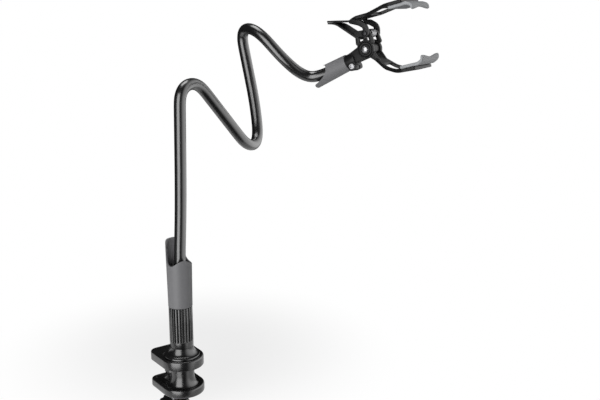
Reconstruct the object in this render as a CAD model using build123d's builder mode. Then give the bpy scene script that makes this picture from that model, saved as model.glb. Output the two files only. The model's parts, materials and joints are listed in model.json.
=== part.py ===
from build123d import *
import math
import os

# Gooseneck phone holder with a table clamp, in millimetres.
# The origin is the middle of the upper jaw's gripping face, on the clamp screw's axis.
# +Z is up and +Y points into the table that the jaws grip.

os.makedirs("parts", exist_ok=True)

# Clearances
face_gap = 0.1
fit_gap = 0.05
slip_gap = 0.25
bend_gap = 0.5

# Table clamp
post_setback = 25.0
jaw_end_radius = 26.5
jaw_reach = 15.0
jaw_corner_radius = 9.0
jaw_edge_round = 2.5
jaw_gap = 25.0
upper_jaw_thickness = 12.0
lower_jaw_thickness = 11.0
post_radius = 14.5
flare_radius = 22.0
flare_height = 12.0
flare_lip = 2.0
groove_width = 1.6
groove_depth = 1.2
column_flare_radius = 20.5
column_flare_height = 13.0
rim_width = 3.0
rim_height = 1.2
jaw_pad_width = 42.0
jaw_pad_length = 20.0
jaw_pad_corner = 5.0
jaw_pad_thickness = 2.0
jaw_pad_recess = 1.0

# Clamp screw, its nut, knob and pressure foot
table_thickness = 11.0
screw_radius = 5.0
screw_pin_radius = 3.0
screw_pin_length = 3.6
foot_radius = 11.0
foot_thickness = 5.0
foot_pad_thickness = 2.0
foot_pocket_margin = 1.5
foot_pocket_depth = 6.0
nut_radius = 6.5
nut_length = 10.0
boss_radius = 8.5
boss_length = 8.0
knob_drop = 13.0
knob_radius = 19.0
knob_height = 16.0
knob_lobe_count = 10
knob_lobe_radius = 4.2
knob_round = 1.5
knob_floor = 3.0

# Bolt through the clamp into the post
bolt_radius = 4.0
bolt_head_radius = 7.2
bolt_head_height = 5.3
bolt_head_recess = 6.3
insert_radius = 7.0
insert_length = 13.5
bolt_end_short = 1.5

# Ribbed grip at the foot of the post
grip_length = 52.0
flute_count = 24
flute_radius = 1.25
flute_sink = 0.35
flute_start = 9.0
grip_floor = 2.0
spigot_radius = 12.3
spigot_length = 15.0

# Gooseneck: steps from each corner of its centre line to the next
neck_radius = 7.0
neck_straight = 0.5
neck_lean_rise = 30.0
neck_bow_step = (3.9, -2.2, 80.0)
neck_first_top_step = (3.1, -0.4, 140.0)
neck_descent_top_step = (29.4, 12.2, 6.0)
neck_descent_foot_step = (71.9, 2.3, -87.0)
neck_riser_foot_step = (30.8, 21.4, 0.0)
neck_riser_waist_step = (6.2, 17.4, 47.0)
neck_riser_top_step = (-7.0, 23.2, 96.5)
neck_reach_top_step = (-3.8, -43.5, 2.5)
neck_reach_middle_step = (23.0, -27.6, -39.0)
neck_reach_foot_step = (23.2, -7.9, -20.0)
neck_sleeve_entry_step = (15.3, -11.0, -3.8)

# Scarf-cut sleeves over the two ends of the neck
base_sleeve_length = 83.5
base_sleeve_radius = 14.75
base_sleeve_lip_radius = 15.7
base_sleeve_wall = 2.2
base_sleeve_low = 53.5
base_sleeve_short_lip = 7.0
base_tongue_turn = 82.0
head_sleeve_length = 52.4
head_sleeve_radius = 10.2
head_sleeve_lip_radius = 11.7
head_sleeve_wall = 1.8
head_sleeve_low = 28.0
head_sleeve_short_lip = 6.4
head_sleeve_run = 49.6
sleeve_grip_start = 6.0
sleeve_grip_end = 20.0
sleeve_mouth_start = 26.0

# Direction of the head: compass turn from +X, rise of the sleeve and of the clip
head_turn = -67.0
sleeve_rise = 26.0
clip_rise = 14.4

# Swivel stub and knuckle
stub_radius = 4.5
stub_flange_length = 4.0
knuckle_start = 0.5
knuckle_length = 12.6
knuckle_radius = 9.2
ear_depth = 12.6
ear_half_width = 9.0
ear_start = 1.8
ear_length = 10.4
pinch_slit = 2.0
pinch_along = 7.4
pinch_drop = 7.7
pinch_radius = 2.0
pinch_head_radius = 3.6
pinch_head_height = 2.6
pinch_nut_radius = 4.0
hub_reach = 33.6
hub_rise = 2.9
eye_radius = 9.5
eye_half_width = 6.6
knuckle_arm_top = 8.5
knuckle_arm_bottom = -5.5

# Clip hub
washer_radius = 8.0
washer_thickness = 1.0
cheek_thickness = 4.8
hub_radius = 11.2
hub_groove_inner = 5.6
hub_groove_outer = 8.4
hub_groove_depth = 0.8
tilt_screw_radius = 3.0
tilt_head_radius = 4.2
tilt_head_height = 2.2
tilt_nut_radius = 5.4
tilt_nut_height = 3.4

# Clip halves, drawn from the hub: first towards the gripped edge, then up
clip_half_width = 26.0
handle_thickness = 2.2
arm_thickness = 3.8
clip_pivot = (6.0, 18.0)
pivot_eye_radius = 4.6
pivot_radius = 2.0
pivot_head_radius = 3.2
pivot_head_height = 1.4
lug_thickness = 4.0
lug_gap = 0.5
lug_top = (2.0, 36.2)
lug_elbow = (7.6, 27.6)
lug_radius = 4.0
upper_tip = (-44.0, 43.0)
upper_waist_back = (-13.5, 37.0)
upper_waist_front = (-1.3, 39.2)
upper_knee = (16.0, 39.2)
upper_jaw_height = 43.0
upper_handle_bend = 20.0
upper_arm_bend = 30.0
lower_tip = (-43.5, 40.4)
lower_bow = (-29.5, 37.4)
lower_root = (-6.0, 13.9)
lower_handle_bend = 14.0
cheek_bar_end = (-8.6, 20.6)
cheek_bar_radius = 3.4
cheek_heel = (-6.5, 7.6)
cheek_heel_top = (-7.8, 15.4)
cheek_heel_radius = 2.4
cheek_post_foot = (8.4, 6.6)
cheek_post_top = (9.0, 16.0)
cheek_post_radius = 2.3
cheek_hip = (6.0, -6.0)
cheek_hip_radius = 5.0
cheek_toe = (13.2, -16.4)
cheek_toe_radius = 2.4
lower_arm_start = (11.0, -14.6)
lower_knee = (24.0, -27.6)
lower_jaw_height = -35.2
lower_arm_bend = 30.0
jaw_bend = 41.0
jaw_flat_start = 46.0
jaw_end = 64.0
lug_waist_back = -12.0
lug_waist_start = -4.0
waist_end = 12.0
upper_window_start = 17.0
lower_window_start = 19.0
rail_width = 5.0

# Soft grip pads on the clip's jaws
grip_pad_thickness = 4.0
grip_pad_half_width = 25.0
grip_pad_flat_end = 68.0
grip_pad_knee = 74.0
grip_pad_knee_height = 2.8
grip_pad_lip = 75.0
grip_pad_lip_height = 8.4
grip_pad_bend = 4.5

# Torsion spring on the clip's pin
spring_wire_radius = 0.9
spring_radius = 4.4
spring_pitch = 2.1
spring_turns = 4
spring_lower_leg_turn = 182.0
spring_upper_leg_turn = 94.0
spring_lower_leg = 16.0
spring_upper_leg = 18.0


def save(builder, name):
    """Label a finished piece and write it to its own file."""
    builder.part.label = name
    export_step(builder.part, f"parts/{name}.step")


def stepped(point, step):
    """The point a step further on."""
    return tuple(a + b for a, b in zip(point, step))


def midpoint(first, second):
    """The point half way between two points."""
    return tuple((a + b) / 2 for a, b in zip(first, second))


# Levels of the clamp and the post
upper_jaw_under = jaw_pad_thickness - jaw_pad_recess
upper_jaw_top = upper_jaw_under + upper_jaw_thickness
lower_jaw_top = upper_jaw_under - jaw_gap
lower_jaw_under = lower_jaw_top - lower_jaw_thickness
pocket_floor = lower_jaw_top - foot_pocket_depth
boss_end = lower_jaw_under - boss_length
flare_top = upper_jaw_top + flare_height
grip_top = flare_top + grip_length
insert_top = flare_top + insert_length
neck_foot_height = insert_top + grip_floor
post_axis = Axis((0, -post_setback, 0), (0, 0, 1))
post_plane = Plane.XZ.offset(post_setback)


def post_level(height):
    """The level plane at a height, centred on the post."""
    return Plane(origin=(0, -post_setback, height))


with BuildSketch() as jaw_plan:
    with Locations((0, -post_setback)):
        Circle(jaw_end_radius)
    with Locations((0, (jaw_reach - post_setback) / 2)):
        Rectangle(2 * jaw_end_radius, jaw_reach + post_setback)
    fillet(jaw_plan.vertices().group_by(Axis.Y)[-1], jaw_corner_radius)

jaw_pad_centre = (0, jaw_reach - rim_width - jaw_pad_length / 2)

with BuildPart() as upper_jaw:
    with BuildSketch(Plane.XY.offset(upper_jaw_under)):
        add(jaw_plan.sketch)
    extrude(amount=upper_jaw_thickness)
    fillet(upper_jaw.faces().sort_by(Axis.Z)[-1].edges(), jaw_edge_round)
    with BuildSketch(post_plane):
        with BuildLine():
            lip_top = upper_jaw_top + flare_lip
            foot = Polyline(
                (0, flare_top),
                (0, upper_jaw_top - groove_depth),
                (flare_radius, upper_jaw_top - groove_depth),
                (flare_radius, lip_top),
            )
            EllipticalCenterArc(
                (flare_radius, flare_top),
                flare_radius - post_radius,
                flare_top - lip_top,
                start_angle=180,
                arc_size=90,
            )
            Line((post_radius, flare_top), (0, flare_top))
        make_face()
    revolve(axis=post_axis)
    with BuildSketch(post_level(upper_jaw_top)):
        Circle(flare_radius + groove_width)
        Circle(flare_radius, mode=Mode.SUBTRACT)
    extrude(amount=-groove_depth, mode=Mode.SUBTRACT)
    with BuildSketch(Plane.XY.offset(upper_jaw_under)):
        with Locations(jaw_pad_centre):
            RectangleRounded(
                jaw_pad_width + 2 * face_gap,
                jaw_pad_length + 2 * face_gap,
                jaw_pad_corner + face_gap,
            )
    extrude(amount=jaw_pad_recess, mode=Mode.SUBTRACT)
    with BuildSketch(post_level(upper_jaw_under)):
        Circle(bolt_radius + slip_gap)
    extrude(amount=flare_top - upper_jaw_under, mode=Mode.SUBTRACT)
save(upper_jaw, "upper_jaw")

with BuildPart() as jaw_pad:
    with BuildSketch():
        with Locations(jaw_pad_centre):
            RectangleRounded(jaw_pad_width, jaw_pad_length, jaw_pad_corner)
    extrude(amount=jaw_pad_thickness)
save(jaw_pad, "jaw_pad")

with BuildPart() as lower_jaw:
    with BuildSketch(Plane.XY.offset(lower_jaw_under)):
        add(jaw_plan.sketch)
    extrude(amount=lower_jaw_thickness)
    fillet(lower_jaw.faces().sort_by(Axis.Z)[-1].edges(), jaw_edge_round)
    fillet(lower_jaw.faces().sort_by(Axis.Z)[0].edges(), jaw_edge_round)
    with BuildSketch(Plane.XY.offset(lower_jaw_top)):
        add(jaw_plan.sketch)
        offset(amount=-(jaw_edge_round + rim_width), mode=Mode.REPLACE)
    extrude(amount=-rim_height, mode=Mode.SUBTRACT)
    with BuildSketch(post_plane):
        with BuildLine():
            column_foot = lower_jaw_top - rim_height
            column_flare_top = column_foot + column_flare_height
            Polyline((0, upper_jaw_under), (0, column_foot), (column_flare_radius, column_foot))
            EllipticalCenterArc(
                (column_flare_radius, column_flare_top),
                column_flare_radius - post_radius,
                column_flare_height,
                start_angle=180,
                arc_size=90,
            )
            Polyline(
                (post_radius, column_flare_top),
                (post_radius, upper_jaw_under),
                (0, upper_jaw_under),
            )
        make_face()
    revolve(axis=post_axis)
    with BuildSketch(Plane.XY.offset(boss_end)):
        Circle(boss_radius)
    extrude(amount=boss_length + jaw_edge_round)
    with BuildSketch(Plane.XY.offset(pocket_floor)):
        Circle(foot_radius + foot_pocket_margin)
    extrude(amount=-pocket_floor, mode=Mode.SUBTRACT)
    with BuildSketch(Plane.XY.offset(boss_end)):
        Circle(nut_radius + fit_gap)
    extrude(amount=nut_length + face_gap, mode=Mode.SUBTRACT)
    with BuildSketch(Plane.XY.offset(boss_end)):
        Circle(screw_radius + slip_gap)
    extrude(amount=pocket_floor - boss_end, mode=Mode.SUBTRACT)
    with BuildSketch(post_level(lower_jaw_under)):
        Circle(bolt_radius + slip_gap)
    extrude(amount=upper_jaw_under - lower_jaw_under, mode=Mode.SUBTRACT)
    with BuildSketch(post_level(lower_jaw_under)):
        Circle(bolt_head_radius + slip_gap + face_gap)
    extrude(amount=bolt_head_recess, mode=Mode.SUBTRACT)
save(lower_jaw, "lower_jaw")

with BuildPart() as spine_bolt:
    bolt_seat = lower_jaw_under + bolt_head_recess
    with BuildSketch(post_level(bolt_seat)):
        RegularPolygon(bolt_head_radius, 6)
    extrude(amount=-bolt_head_height)
    with BuildSketch(post_level(bolt_seat)):
        Circle(bolt_radius)
    extrude(amount=insert_top - bolt_end_short - bolt_seat)
    chamfer(spine_bolt.edges().sort_by(Axis.Z)[-1], bolt_radius / 5)
save(spine_bolt, "spine_bolt")

with BuildPart() as grip_insert:
    with BuildSketch(post_level(flare_top + face_gap)):
        Circle(insert_radius)
        Circle(bolt_radius + fit_gap, mode=Mode.SUBTRACT)
    extrude(amount=insert_length - 2 * face_gap)
save(grip_insert, "grip_insert")

with BuildPart() as screw_nut:
    with BuildSketch(Plane.XY.offset(boss_end)):
        Circle(nut_radius)
        Circle(screw_radius + fit_gap, mode=Mode.SUBTRACT)
    extrude(amount=nut_length)
save(screw_nut, "screw_nut")

# The screw stands where its foot presses on a table of the given thickness.
foot_pad_under = -table_thickness - foot_pad_thickness
foot_under = foot_pad_under - foot_thickness
knob_top = boss_end - knob_drop
knob_under = knob_top - knob_height

with BuildPart() as pressure_pad:
    with BuildSketch(Plane.XY.offset(foot_pad_under)):
        Circle(foot_radius)
    extrude(amount=foot_pad_thickness)
    fillet(pressure_pad.edges().group_by(Axis.Z)[-1], foot_pad_thickness / 3)
save(pressure_pad, "pressure_pad")

with BuildPart() as pressure_foot:
    with BuildSketch(Plane.XY.offset(foot_under)):
        Circle(foot_radius)
    extrude(amount=foot_thickness)
    chamfer(pressure_foot.edges().group_by(Axis.Z)[0], foot_thickness / 4)
    with BuildSketch(Plane.XY.offset(foot_under)):
        Circle(screw_pin_radius + fit_gap)
    extrude(amount=screw_pin_length + face_gap, mode=Mode.SUBTRACT)
save(pressure_foot, "pressure_foot")

with BuildPart() as clamp_screw:
    screw_end = knob_under + knob_floor + face_gap
    with BuildSketch(Plane.XY.offset(screw_end)):
        Circle(screw_radius)
    extrude(amount=foot_under - face_gap - screw_end)
    with BuildSketch(Plane.XY.offset(foot_under - face_gap)):
        Circle(screw_pin_radius)
    extrude(amount=screw_pin_length)
save(clamp_screw, "clamp_screw")

with BuildPart() as clamp_knob:
    with BuildSketch(Plane.XY.offset(knob_under)) as knob_outline:
        Circle(knob_radius)
        with PolarLocations(knob_radius + knob_lobe_radius / 2, knob_lobe_count):
            Circle(knob_lobe_radius, mode=Mode.SUBTRACT)
        fillet(knob_outline.vertices(), knob_round)
    extrude(amount=knob_height)
    fillet(clamp_knob.faces().sort_by(Axis.Z)[0].edges(), knob_round)
    fillet(clamp_knob.faces().sort_by(Axis.Z)[-1].edges(), knob_round)
    with BuildSketch(Plane.XY.offset(knob_under + knob_floor)):
        Circle(screw_radius + fit_gap)
    extrude(amount=knob_height - knob_floor, mode=Mode.SUBTRACT)
save(clamp_knob, "clamp_knob")

with BuildPart() as ribbed_grip:
    with BuildSketch(post_level(flare_top)):
        Circle(post_radius)
    extrude(amount=grip_length)
    with BuildSketch(post_level(flare_top + flute_start)):
        with PolarLocations(post_radius + flute_sink, flute_count):
            Circle(flute_radius)
    extrude(amount=grip_length - flute_start, mode=Mode.SUBTRACT)
    with Locations((0, -post_setback, flare_top + flute_start)):
        with PolarLocations(post_radius + flute_sink, flute_count):
            Sphere(flute_radius, mode=Mode.SUBTRACT)
    with BuildSketch(post_level(grip_top)):
        Circle(spigot_radius)
    extrude(amount=spigot_length)
    with BuildSketch(post_level(flare_top)):
        Circle(insert_radius + fit_gap)
    extrude(amount=insert_length, mode=Mode.SUBTRACT)
    with BuildSketch(post_level(neck_foot_height)):
        Circle(neck_radius + face_gap)
    extrude(amount=grip_top + spigot_length - neck_foot_height, mode=Mode.SUBTRACT)
save(ribbed_grip, "ribbed_grip")


def scarf_region(radius, low, lip, top):
    """The part of a sleeve's side view that its slanted, hollowed end cut takes away."""
    reach = radius + 1
    with BuildSketch() as region:
        with BuildLine():
            short_side = ThreePointArc(
                (-reach, low + lip), (-radius * 0.72, low + lip * 0.3), (-radius * 0.36, low)
            )
            sweep_up = Bezier(
                short_side @ 1,
                (radius * 0.2, low),
                (radius * 0.5, low + (top - low) * 0.45),
                (radius * 0.64, top - radius * 0.2),
            )
            tip = ThreePointArc(sweep_up @ 1, (radius * 0.76, top - radius * 0.05), (reach, top))
            Polyline(tip @ 1, (reach, top + reach), (-reach, top + reach), short_side @ 0)
        make_face()
    return region.sketch


tongue_turn = math.radians(base_tongue_turn)
base_sleeve_plane = Plane(
    origin=(0, -post_setback, grip_top + face_gap),
    x_dir=(math.cos(tongue_turn), math.sin(tongue_turn), 0),
    z_dir=(math.sin(tongue_turn), -math.cos(tongue_turn), 0),
)

with BuildPart() as base_sleeve:
    with BuildSketch(base_sleeve_plane):
        with BuildLine():
            Polyline(
                (base_sleeve_radius - base_sleeve_wall, 0),
                (base_sleeve_radius, 0),
                (base_sleeve_lip_radius, base_sleeve_length),
                (base_sleeve_lip_radius - base_sleeve_wall, base_sleeve_length),
                close=True,
            )
        make_face()
    revolve(axis=Axis(base_sleeve_plane.origin, base_sleeve_plane.y_dir))
    with BuildSketch(base_sleeve_plane):
        add(
            scarf_region(
                base_sleeve_lip_radius, base_sleeve_low, base_sleeve_short_lip, base_sleeve_length
            )
        )
    extrude(amount=2 * base_sleeve_radius, both=True, mode=Mode.SUBTRACT)
save(base_sleeve, "base_sleeve")

# The neck bends at three elbows. Each stretch ends in a ball that the next one's socket covers.
neck_lean_start = (0, -post_setback, grip_top + spigot_length + neck_lean_rise)
neck_bow = stepped(neck_lean_start, neck_bow_step)
neck_first_top = stepped(neck_bow, neck_first_top_step)
neck_descent_top = stepped(neck_first_top, neck_descent_top_step)
neck_descent_foot = stepped(neck_descent_top, neck_descent_foot_step)
neck_riser_foot = stepped(neck_descent_foot, neck_riser_foot_step)
neck_riser_waist = stepped(neck_riser_foot, neck_riser_waist_step)
neck_riser_top = stepped(neck_riser_waist, neck_riser_top_step)
neck_reach_top = stepped(neck_riser_top, neck_reach_top_step)
neck_reach_middle = stepped(neck_reach_top, neck_reach_middle_step)
neck_reach_foot = stepped(neck_reach_middle, neck_reach_foot_step)
neck_sleeve_entry = stepped(neck_reach_foot, neck_sleeve_entry_step)
first_elbow = midpoint(neck_first_top, neck_descent_top)
second_elbow = midpoint(neck_descent_foot, neck_riser_foot)
third_elbow = midpoint(neck_riser_top, neck_reach_top)

# Directions of the head. The tilt axis is level, square to the way the head faces.
turn = math.radians(head_turn)
side = Vector(-math.sin(turn), math.cos(turn), 0)


def head_direction(rise):
    """The direction that the head faces, raised by an angle in degrees."""
    raised = math.radians(rise)
    level = math.cos(raised)
    return Vector(math.cos(turn) * level, math.sin(turn) * level, math.sin(raised))


sleeve_along = head_direction(sleeve_rise)
sleeve_up = head_direction(sleeve_rise + 90)
sleeve_end = Vector(neck_sleeve_entry) + sleeve_along * head_sleeve_run
neck_end = sleeve_end - sleeve_along * (sleeve_grip_start + stub_flange_length + 2 * face_gap)
knuckle_plane = Plane(origin=sleeve_end, x_dir=sleeve_along, z_dir=-side)
sleeve_plane = Plane(origin=sleeve_end, x_dir=-sleeve_up, z_dir=side)
hub = sleeve_end + sleeve_along * hub_reach + sleeve_up * hub_rise
clip_plane = Plane(origin=hub, x_dir=head_direction(clip_rise), z_dir=-side)
clip_plan = Plane(origin=hub, x_dir=head_direction(clip_rise), z_dir=clip_plane.y_dir)


def neck_bends(points):
    """Radius of the bend at each inner corner, as large as the legs beside it allow."""
    corners = [Vector(point) for point in points]
    last = len(corners) - 2
    radii = []
    for place in range(1, last + 1):
        back = corners[place - 1] - corners[place]
        ahead = corners[place + 1] - corners[place]
        back_room = back.length if place == 1 else back.length / 2
        ahead_room = ahead.length if place == last else ahead.length / 2
        half_turn = math.radians(180 - back.get_angle(ahead)) / 2
        radii.append((min(back_room, ahead_room) - neck_straight) / math.tan(half_turn))
    return radii


def neck_stretch(points, socket, ball):
    """One stretch of the neck's sheathed core along straight runs and tangent arcs."""
    with BuildPart() as stretch:
        with BuildLine() as route:
            FilletPolyline(*points, radius=neck_bends(points))
        for run in route.edges():
            with BuildSketch(Plane(origin=run @ 0, z_dir=run % 0)):
                Circle(neck_radius)
            sweep(path=run)
        start = Vector(points[0])
        end = Vector(points[-1])
        if ball:
            with Locations(Plane(origin=end, z_dir=end - Vector(points[-2]))):
                Sphere(neck_radius)
        if socket:
            with Locations(Plane(origin=start, z_dir=Vector(points[1]) - start)):
                Sphere(neck_radius + bend_gap, mode=Mode.SUBTRACT)
    return stretch


neck_foot = (0, -post_setback, neck_foot_height + face_gap)
neck_first = neck_stretch(
    [neck_foot, neck_lean_start, neck_bow, neck_first_top, first_elbow], False, True
)
save(neck_first, "neck_first_rise")
neck_descent = neck_stretch(
    [first_elbow, neck_descent_top, neck_descent_foot, second_elbow],
    True,
    True,
)
save(neck_descent, "neck_descent")
neck_riser = neck_stretch(
    [second_elbow, neck_riser_foot, neck_riser_waist, neck_riser_top, third_elbow],
    True,
    True,
)
save(neck_riser, "neck_second_rise")
neck_reach = neck_stretch(
    [
        third_elbow,
        neck_reach_top,
        neck_reach_middle,
        neck_reach_foot,
        neck_sleeve_entry,
        tuple(neck_end),
    ],
    True,
    False,
)
save(neck_reach, "neck_reach")

with BuildPart() as head_sleeve:
    with BuildSketch(sleeve_plane):
        with BuildLine():
            Polyline(
                (stub_radius + face_gap, 0),
                (head_sleeve_radius, 0),
                (head_sleeve_lip_radius, head_sleeve_length),
                (head_sleeve_lip_radius - head_sleeve_wall, head_sleeve_length),
                (head_sleeve_lip_radius - head_sleeve_wall, sleeve_mouth_start),
                (neck_radius + face_gap, sleeve_grip_end),
                (neck_radius + face_gap, sleeve_grip_start),
                (stub_radius + face_gap, sleeve_grip_start),
                close=True,
            )
        make_face()
    revolve(axis=Axis(sleeve_plane.origin, sleeve_plane.y_dir))
    with BuildSketch(sleeve_plane):
        add(
            scarf_region(
                head_sleeve_lip_radius, head_sleeve_low, head_sleeve_short_lip, head_sleeve_length
            )
        )
    extrude(amount=2 * head_sleeve_radius, both=True, mode=Mode.SUBTRACT)
save(head_sleeve, "head_sleeve")

with BuildPart() as swivel_stub:
    flange_start = -(sleeve_grip_start + face_gap)
    with BuildSketch(Plane(origin=sleeve_end + sleeve_along * flange_start, z_dir=sleeve_along)):
        Circle(neck_radius)
    extrude(amount=-stub_flange_length)
    with BuildSketch(Plane(origin=sleeve_end + sleeve_along * flange_start, z_dir=sleeve_along)):
        Circle(stub_radius)
    extrude(amount=knuckle_start + knuckle_length - flange_start)
save(swivel_stub, "swivel_stub")

with BuildPart() as knuckle:
    with BuildSketch(Plane(origin=sleeve_end + sleeve_along * knuckle_start, z_dir=sleeve_along)):
        Circle(knuckle_radius)
    extrude(amount=knuckle_length)
    with BuildSketch(knuckle_plane):
        with Locations((ear_start + ear_length / 2, -ear_depth / 2)):
            RectangleRounded(ear_length, ear_depth, pinch_head_radius)
    extrude(amount=ear_half_width, both=True)
    with BuildSketch(knuckle_plane):
        with Locations((hub_reach, hub_rise)):
            Circle(eye_radius)
        with BuildLine():
            Polyline(
                (knuckle_start + knuckle_length / 2, knuckle_arm_bottom),
                (hub_reach, hub_rise - eye_radius * 0.8),
                (hub_reach, hub_rise + eye_radius * 0.8),
                (knuckle_start + knuckle_length / 2, knuckle_arm_top),
                close=True,
            )
        make_face()
    extrude(amount=eye_half_width, both=True)
    with BuildSketch(Plane(origin=sleeve_end, z_dir=sleeve_along)):
        Circle(stub_radius + fit_gap)
    extrude(amount=knuckle_start + knuckle_length + face_gap, mode=Mode.SUBTRACT)
    with BuildSketch(knuckle_plane):
        slit_length = ear_start + ear_length
        with Locations((slit_length / 2, -ear_depth / 2)):
            Rectangle(slit_length, ear_depth)
    extrude(amount=pinch_slit / 2, both=True, mode=Mode.SUBTRACT)
    with BuildSketch(knuckle_plane):
        with Locations((pinch_along, -pinch_drop)):
            Circle(pinch_radius + fit_gap)
        with Locations((hub_reach, hub_rise)):
            Circle(tilt_screw_radius + fit_gap)
    extrude(amount=ear_half_width + face_gap, both=True, mode=Mode.SUBTRACT)
save(knuckle, "knuckle")

pinch_seat = ear_half_width + face_gap

with BuildPart() as pinch_bolt:
    with BuildSketch(knuckle_plane.offset(pinch_seat)):
        with Locations((pinch_along, -pinch_drop)):
            Circle(pinch_head_radius)
    extrude(amount=pinch_head_height)
    fillet(pinch_bolt.edges().sort_by(Axis(hub, -side))[-1], pinch_head_height / 3)
    with BuildSketch(knuckle_plane.offset(pinch_seat + pinch_head_height)):
        with Locations((pinch_along, -pinch_drop)):
            RegularPolygon(pinch_radius, 6)
    extrude(amount=-pinch_head_height * 0.6, mode=Mode.SUBTRACT)
    with BuildSketch(knuckle_plane.offset(pinch_seat)):
        with Locations((pinch_along, -pinch_drop)):
            Circle(pinch_radius)
    extrude(amount=-2 * pinch_seat - pinch_head_height)
save(pinch_bolt, "pinch_bolt")

with BuildPart() as pinch_nut:
    with BuildSketch(knuckle_plane.offset(-pinch_seat)):
        with Locations((pinch_along, -pinch_drop)):
            RegularPolygon(pinch_nut_radius, 6)
            Circle(pinch_radius + fit_gap, mode=Mode.SUBTRACT)
    extrude(amount=-pinch_head_height)
save(pinch_nut, "pinch_nut")

# Layers of the hub along the tilt axis, from the knuckle's eye outwards
washer_start = eye_half_width + face_gap
cheek_start = washer_start + washer_thickness + face_gap
cheek_end = cheek_start + cheek_thickness
lug_start = cheek_end + lug_gap
lug_end = lug_start + lug_thickness

with BuildPart() as friction_washers:
    for start in (washer_start, -washer_start - washer_thickness):
        with BuildSketch(clip_plane.offset(start)):
            Circle(washer_radius)
            Circle(tilt_screw_radius + fit_gap, mode=Mode.SUBTRACT)
        extrude(amount=washer_thickness)
save(friction_washers, "friction_washers")

with BuildPart() as tilt_screw:
    with BuildSketch(clip_plane.offset(cheek_end + face_gap)):
        Circle(tilt_head_radius)
    extrude(amount=tilt_head_height)
    fillet(tilt_screw.edges().sort_by(Axis(hub, -side))[-1], tilt_head_height * 0.8)
    with BuildSketch(clip_plane.offset(cheek_end + face_gap)):
        Circle(tilt_screw_radius)
    extrude(amount=-2 * cheek_end - 2 * face_gap - tilt_nut_height)
save(tilt_screw, "tilt_screw")

with BuildPart() as tilt_nut:
    with BuildSketch(clip_plane.offset(-cheek_end - face_gap)):
        RegularPolygon(tilt_nut_radius, 6)
        Circle(tilt_screw_radius + fit_gap, mode=Mode.SUBTRACT)
    extrude(amount=-tilt_nut_height)
save(tilt_nut, "tilt_nut")


# The clip seen from above: narrow handle, waist at the pin and wide jaw
handle_half_width = cheek_end
clip_depth = upper_jaw_height - lower_jaw_height
upper_plan = [
    (2 * upper_tip[0], handle_half_width),
    (lug_waist_back, handle_half_width),
    (lug_waist_start, lug_end),
    (waist_end, lug_end),
    (jaw_flat_start, clip_half_width),
    (2 * grip_pad_lip, clip_half_width),
]
lower_plan = [
    (2 * upper_tip[0], handle_half_width),
    (waist_end, handle_half_width),
    (jaw_flat_start, clip_half_width),
    (2 * grip_pad_lip, clip_half_width),
]


def clip_outline(corners):
    """A clip half's outline seen from above, from the corners of one side."""
    with BuildSketch() as outline:
        Polygon(*corners, *[(x, -y) for x, y in reversed(corners)], align=None)
    return outline.sketch


def clip_window(waist_half_width, start):
    """The opening in an arm that leaves a rail along each edge."""
    end = jaw_flat_start - 2 * rail_width
    slope = (clip_half_width - waist_half_width) / (jaw_flat_start - waist_end)
    start_half = waist_half_width + slope * (start - waist_end) - rail_width
    end_half = waist_half_width + slope * (end - waist_end) - rail_width
    with BuildSketch() as opening:
        Polygon(
            (start, start_half),
            (end, end_half),
            (end, -end_half),
            (start, -start_half),
            align=None,
        )
        fillet(opening.vertices(), rail_width / 2)
    return opening.sketch


def link(first, first_radius, second, second_radius):
    """Two rounds joined by straight sides that touch both."""
    run = Vector(*second) - Vector(*first)
    heading = math.atan2(run.Y, run.X)
    lean = math.acos((first_radius - second_radius) / run.length)
    corners = []
    for centre, radius, way in (
        (first, first_radius, 1),
        (second, second_radius, 1),
        (second, second_radius, -1),
        (first, first_radius, -1),
    ):
        angle = heading + way * lean
        inner = radius * 0.999
        corners.append((centre[0] + inner * math.cos(angle), centre[1] + inner * math.sin(angle)))
    with BuildSketch() as shape:
        with Locations(first):
            Circle(first_radius)
        with Locations(second):
            Circle(second_radius)
        Polygon(*corners, align=None)
    return shape.sketch


with BuildPart() as clip_upper_half:
    with BuildSketch(clip_plane):
        with BuildLine():
            FilletPolyline(
                upper_tip, upper_waist_back, upper_waist_front, radius=upper_handle_bend
            )
        trace(line_width=handle_thickness)
        with BuildLine():
            FilletPolyline(
                upper_waist_back,
                upper_waist_front,
                upper_knee,
                (jaw_bend, upper_jaw_height),
                (jaw_end, upper_jaw_height),
                radius=upper_arm_bend,
            )
        trace(line_width=arm_thickness)
    extrude(amount=clip_half_width, both=True)
    with BuildSketch(clip_plan):
        add(clip_outline(upper_plan))
    extrude(amount=clip_depth, both=True, mode=Mode.INTERSECT)
    with BuildSketch(clip_plan):
        add(clip_window(lug_end, upper_window_start))
    extrude(amount=clip_depth, mode=Mode.SUBTRACT)
    for start in (lug_start, -lug_end):
        with BuildSketch(clip_plane.offset(start)):
            add(link(lug_top, lug_radius, lug_elbow, lug_radius))
            add(link(lug_elbow, lug_radius, clip_pivot, pivot_eye_radius))
            with Locations(clip_pivot):
                Circle(pivot_radius + fit_gap, mode=Mode.SUBTRACT)
        extrude(amount=lug_thickness)
save(clip_upper_half, "clip_upper_half")

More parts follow.
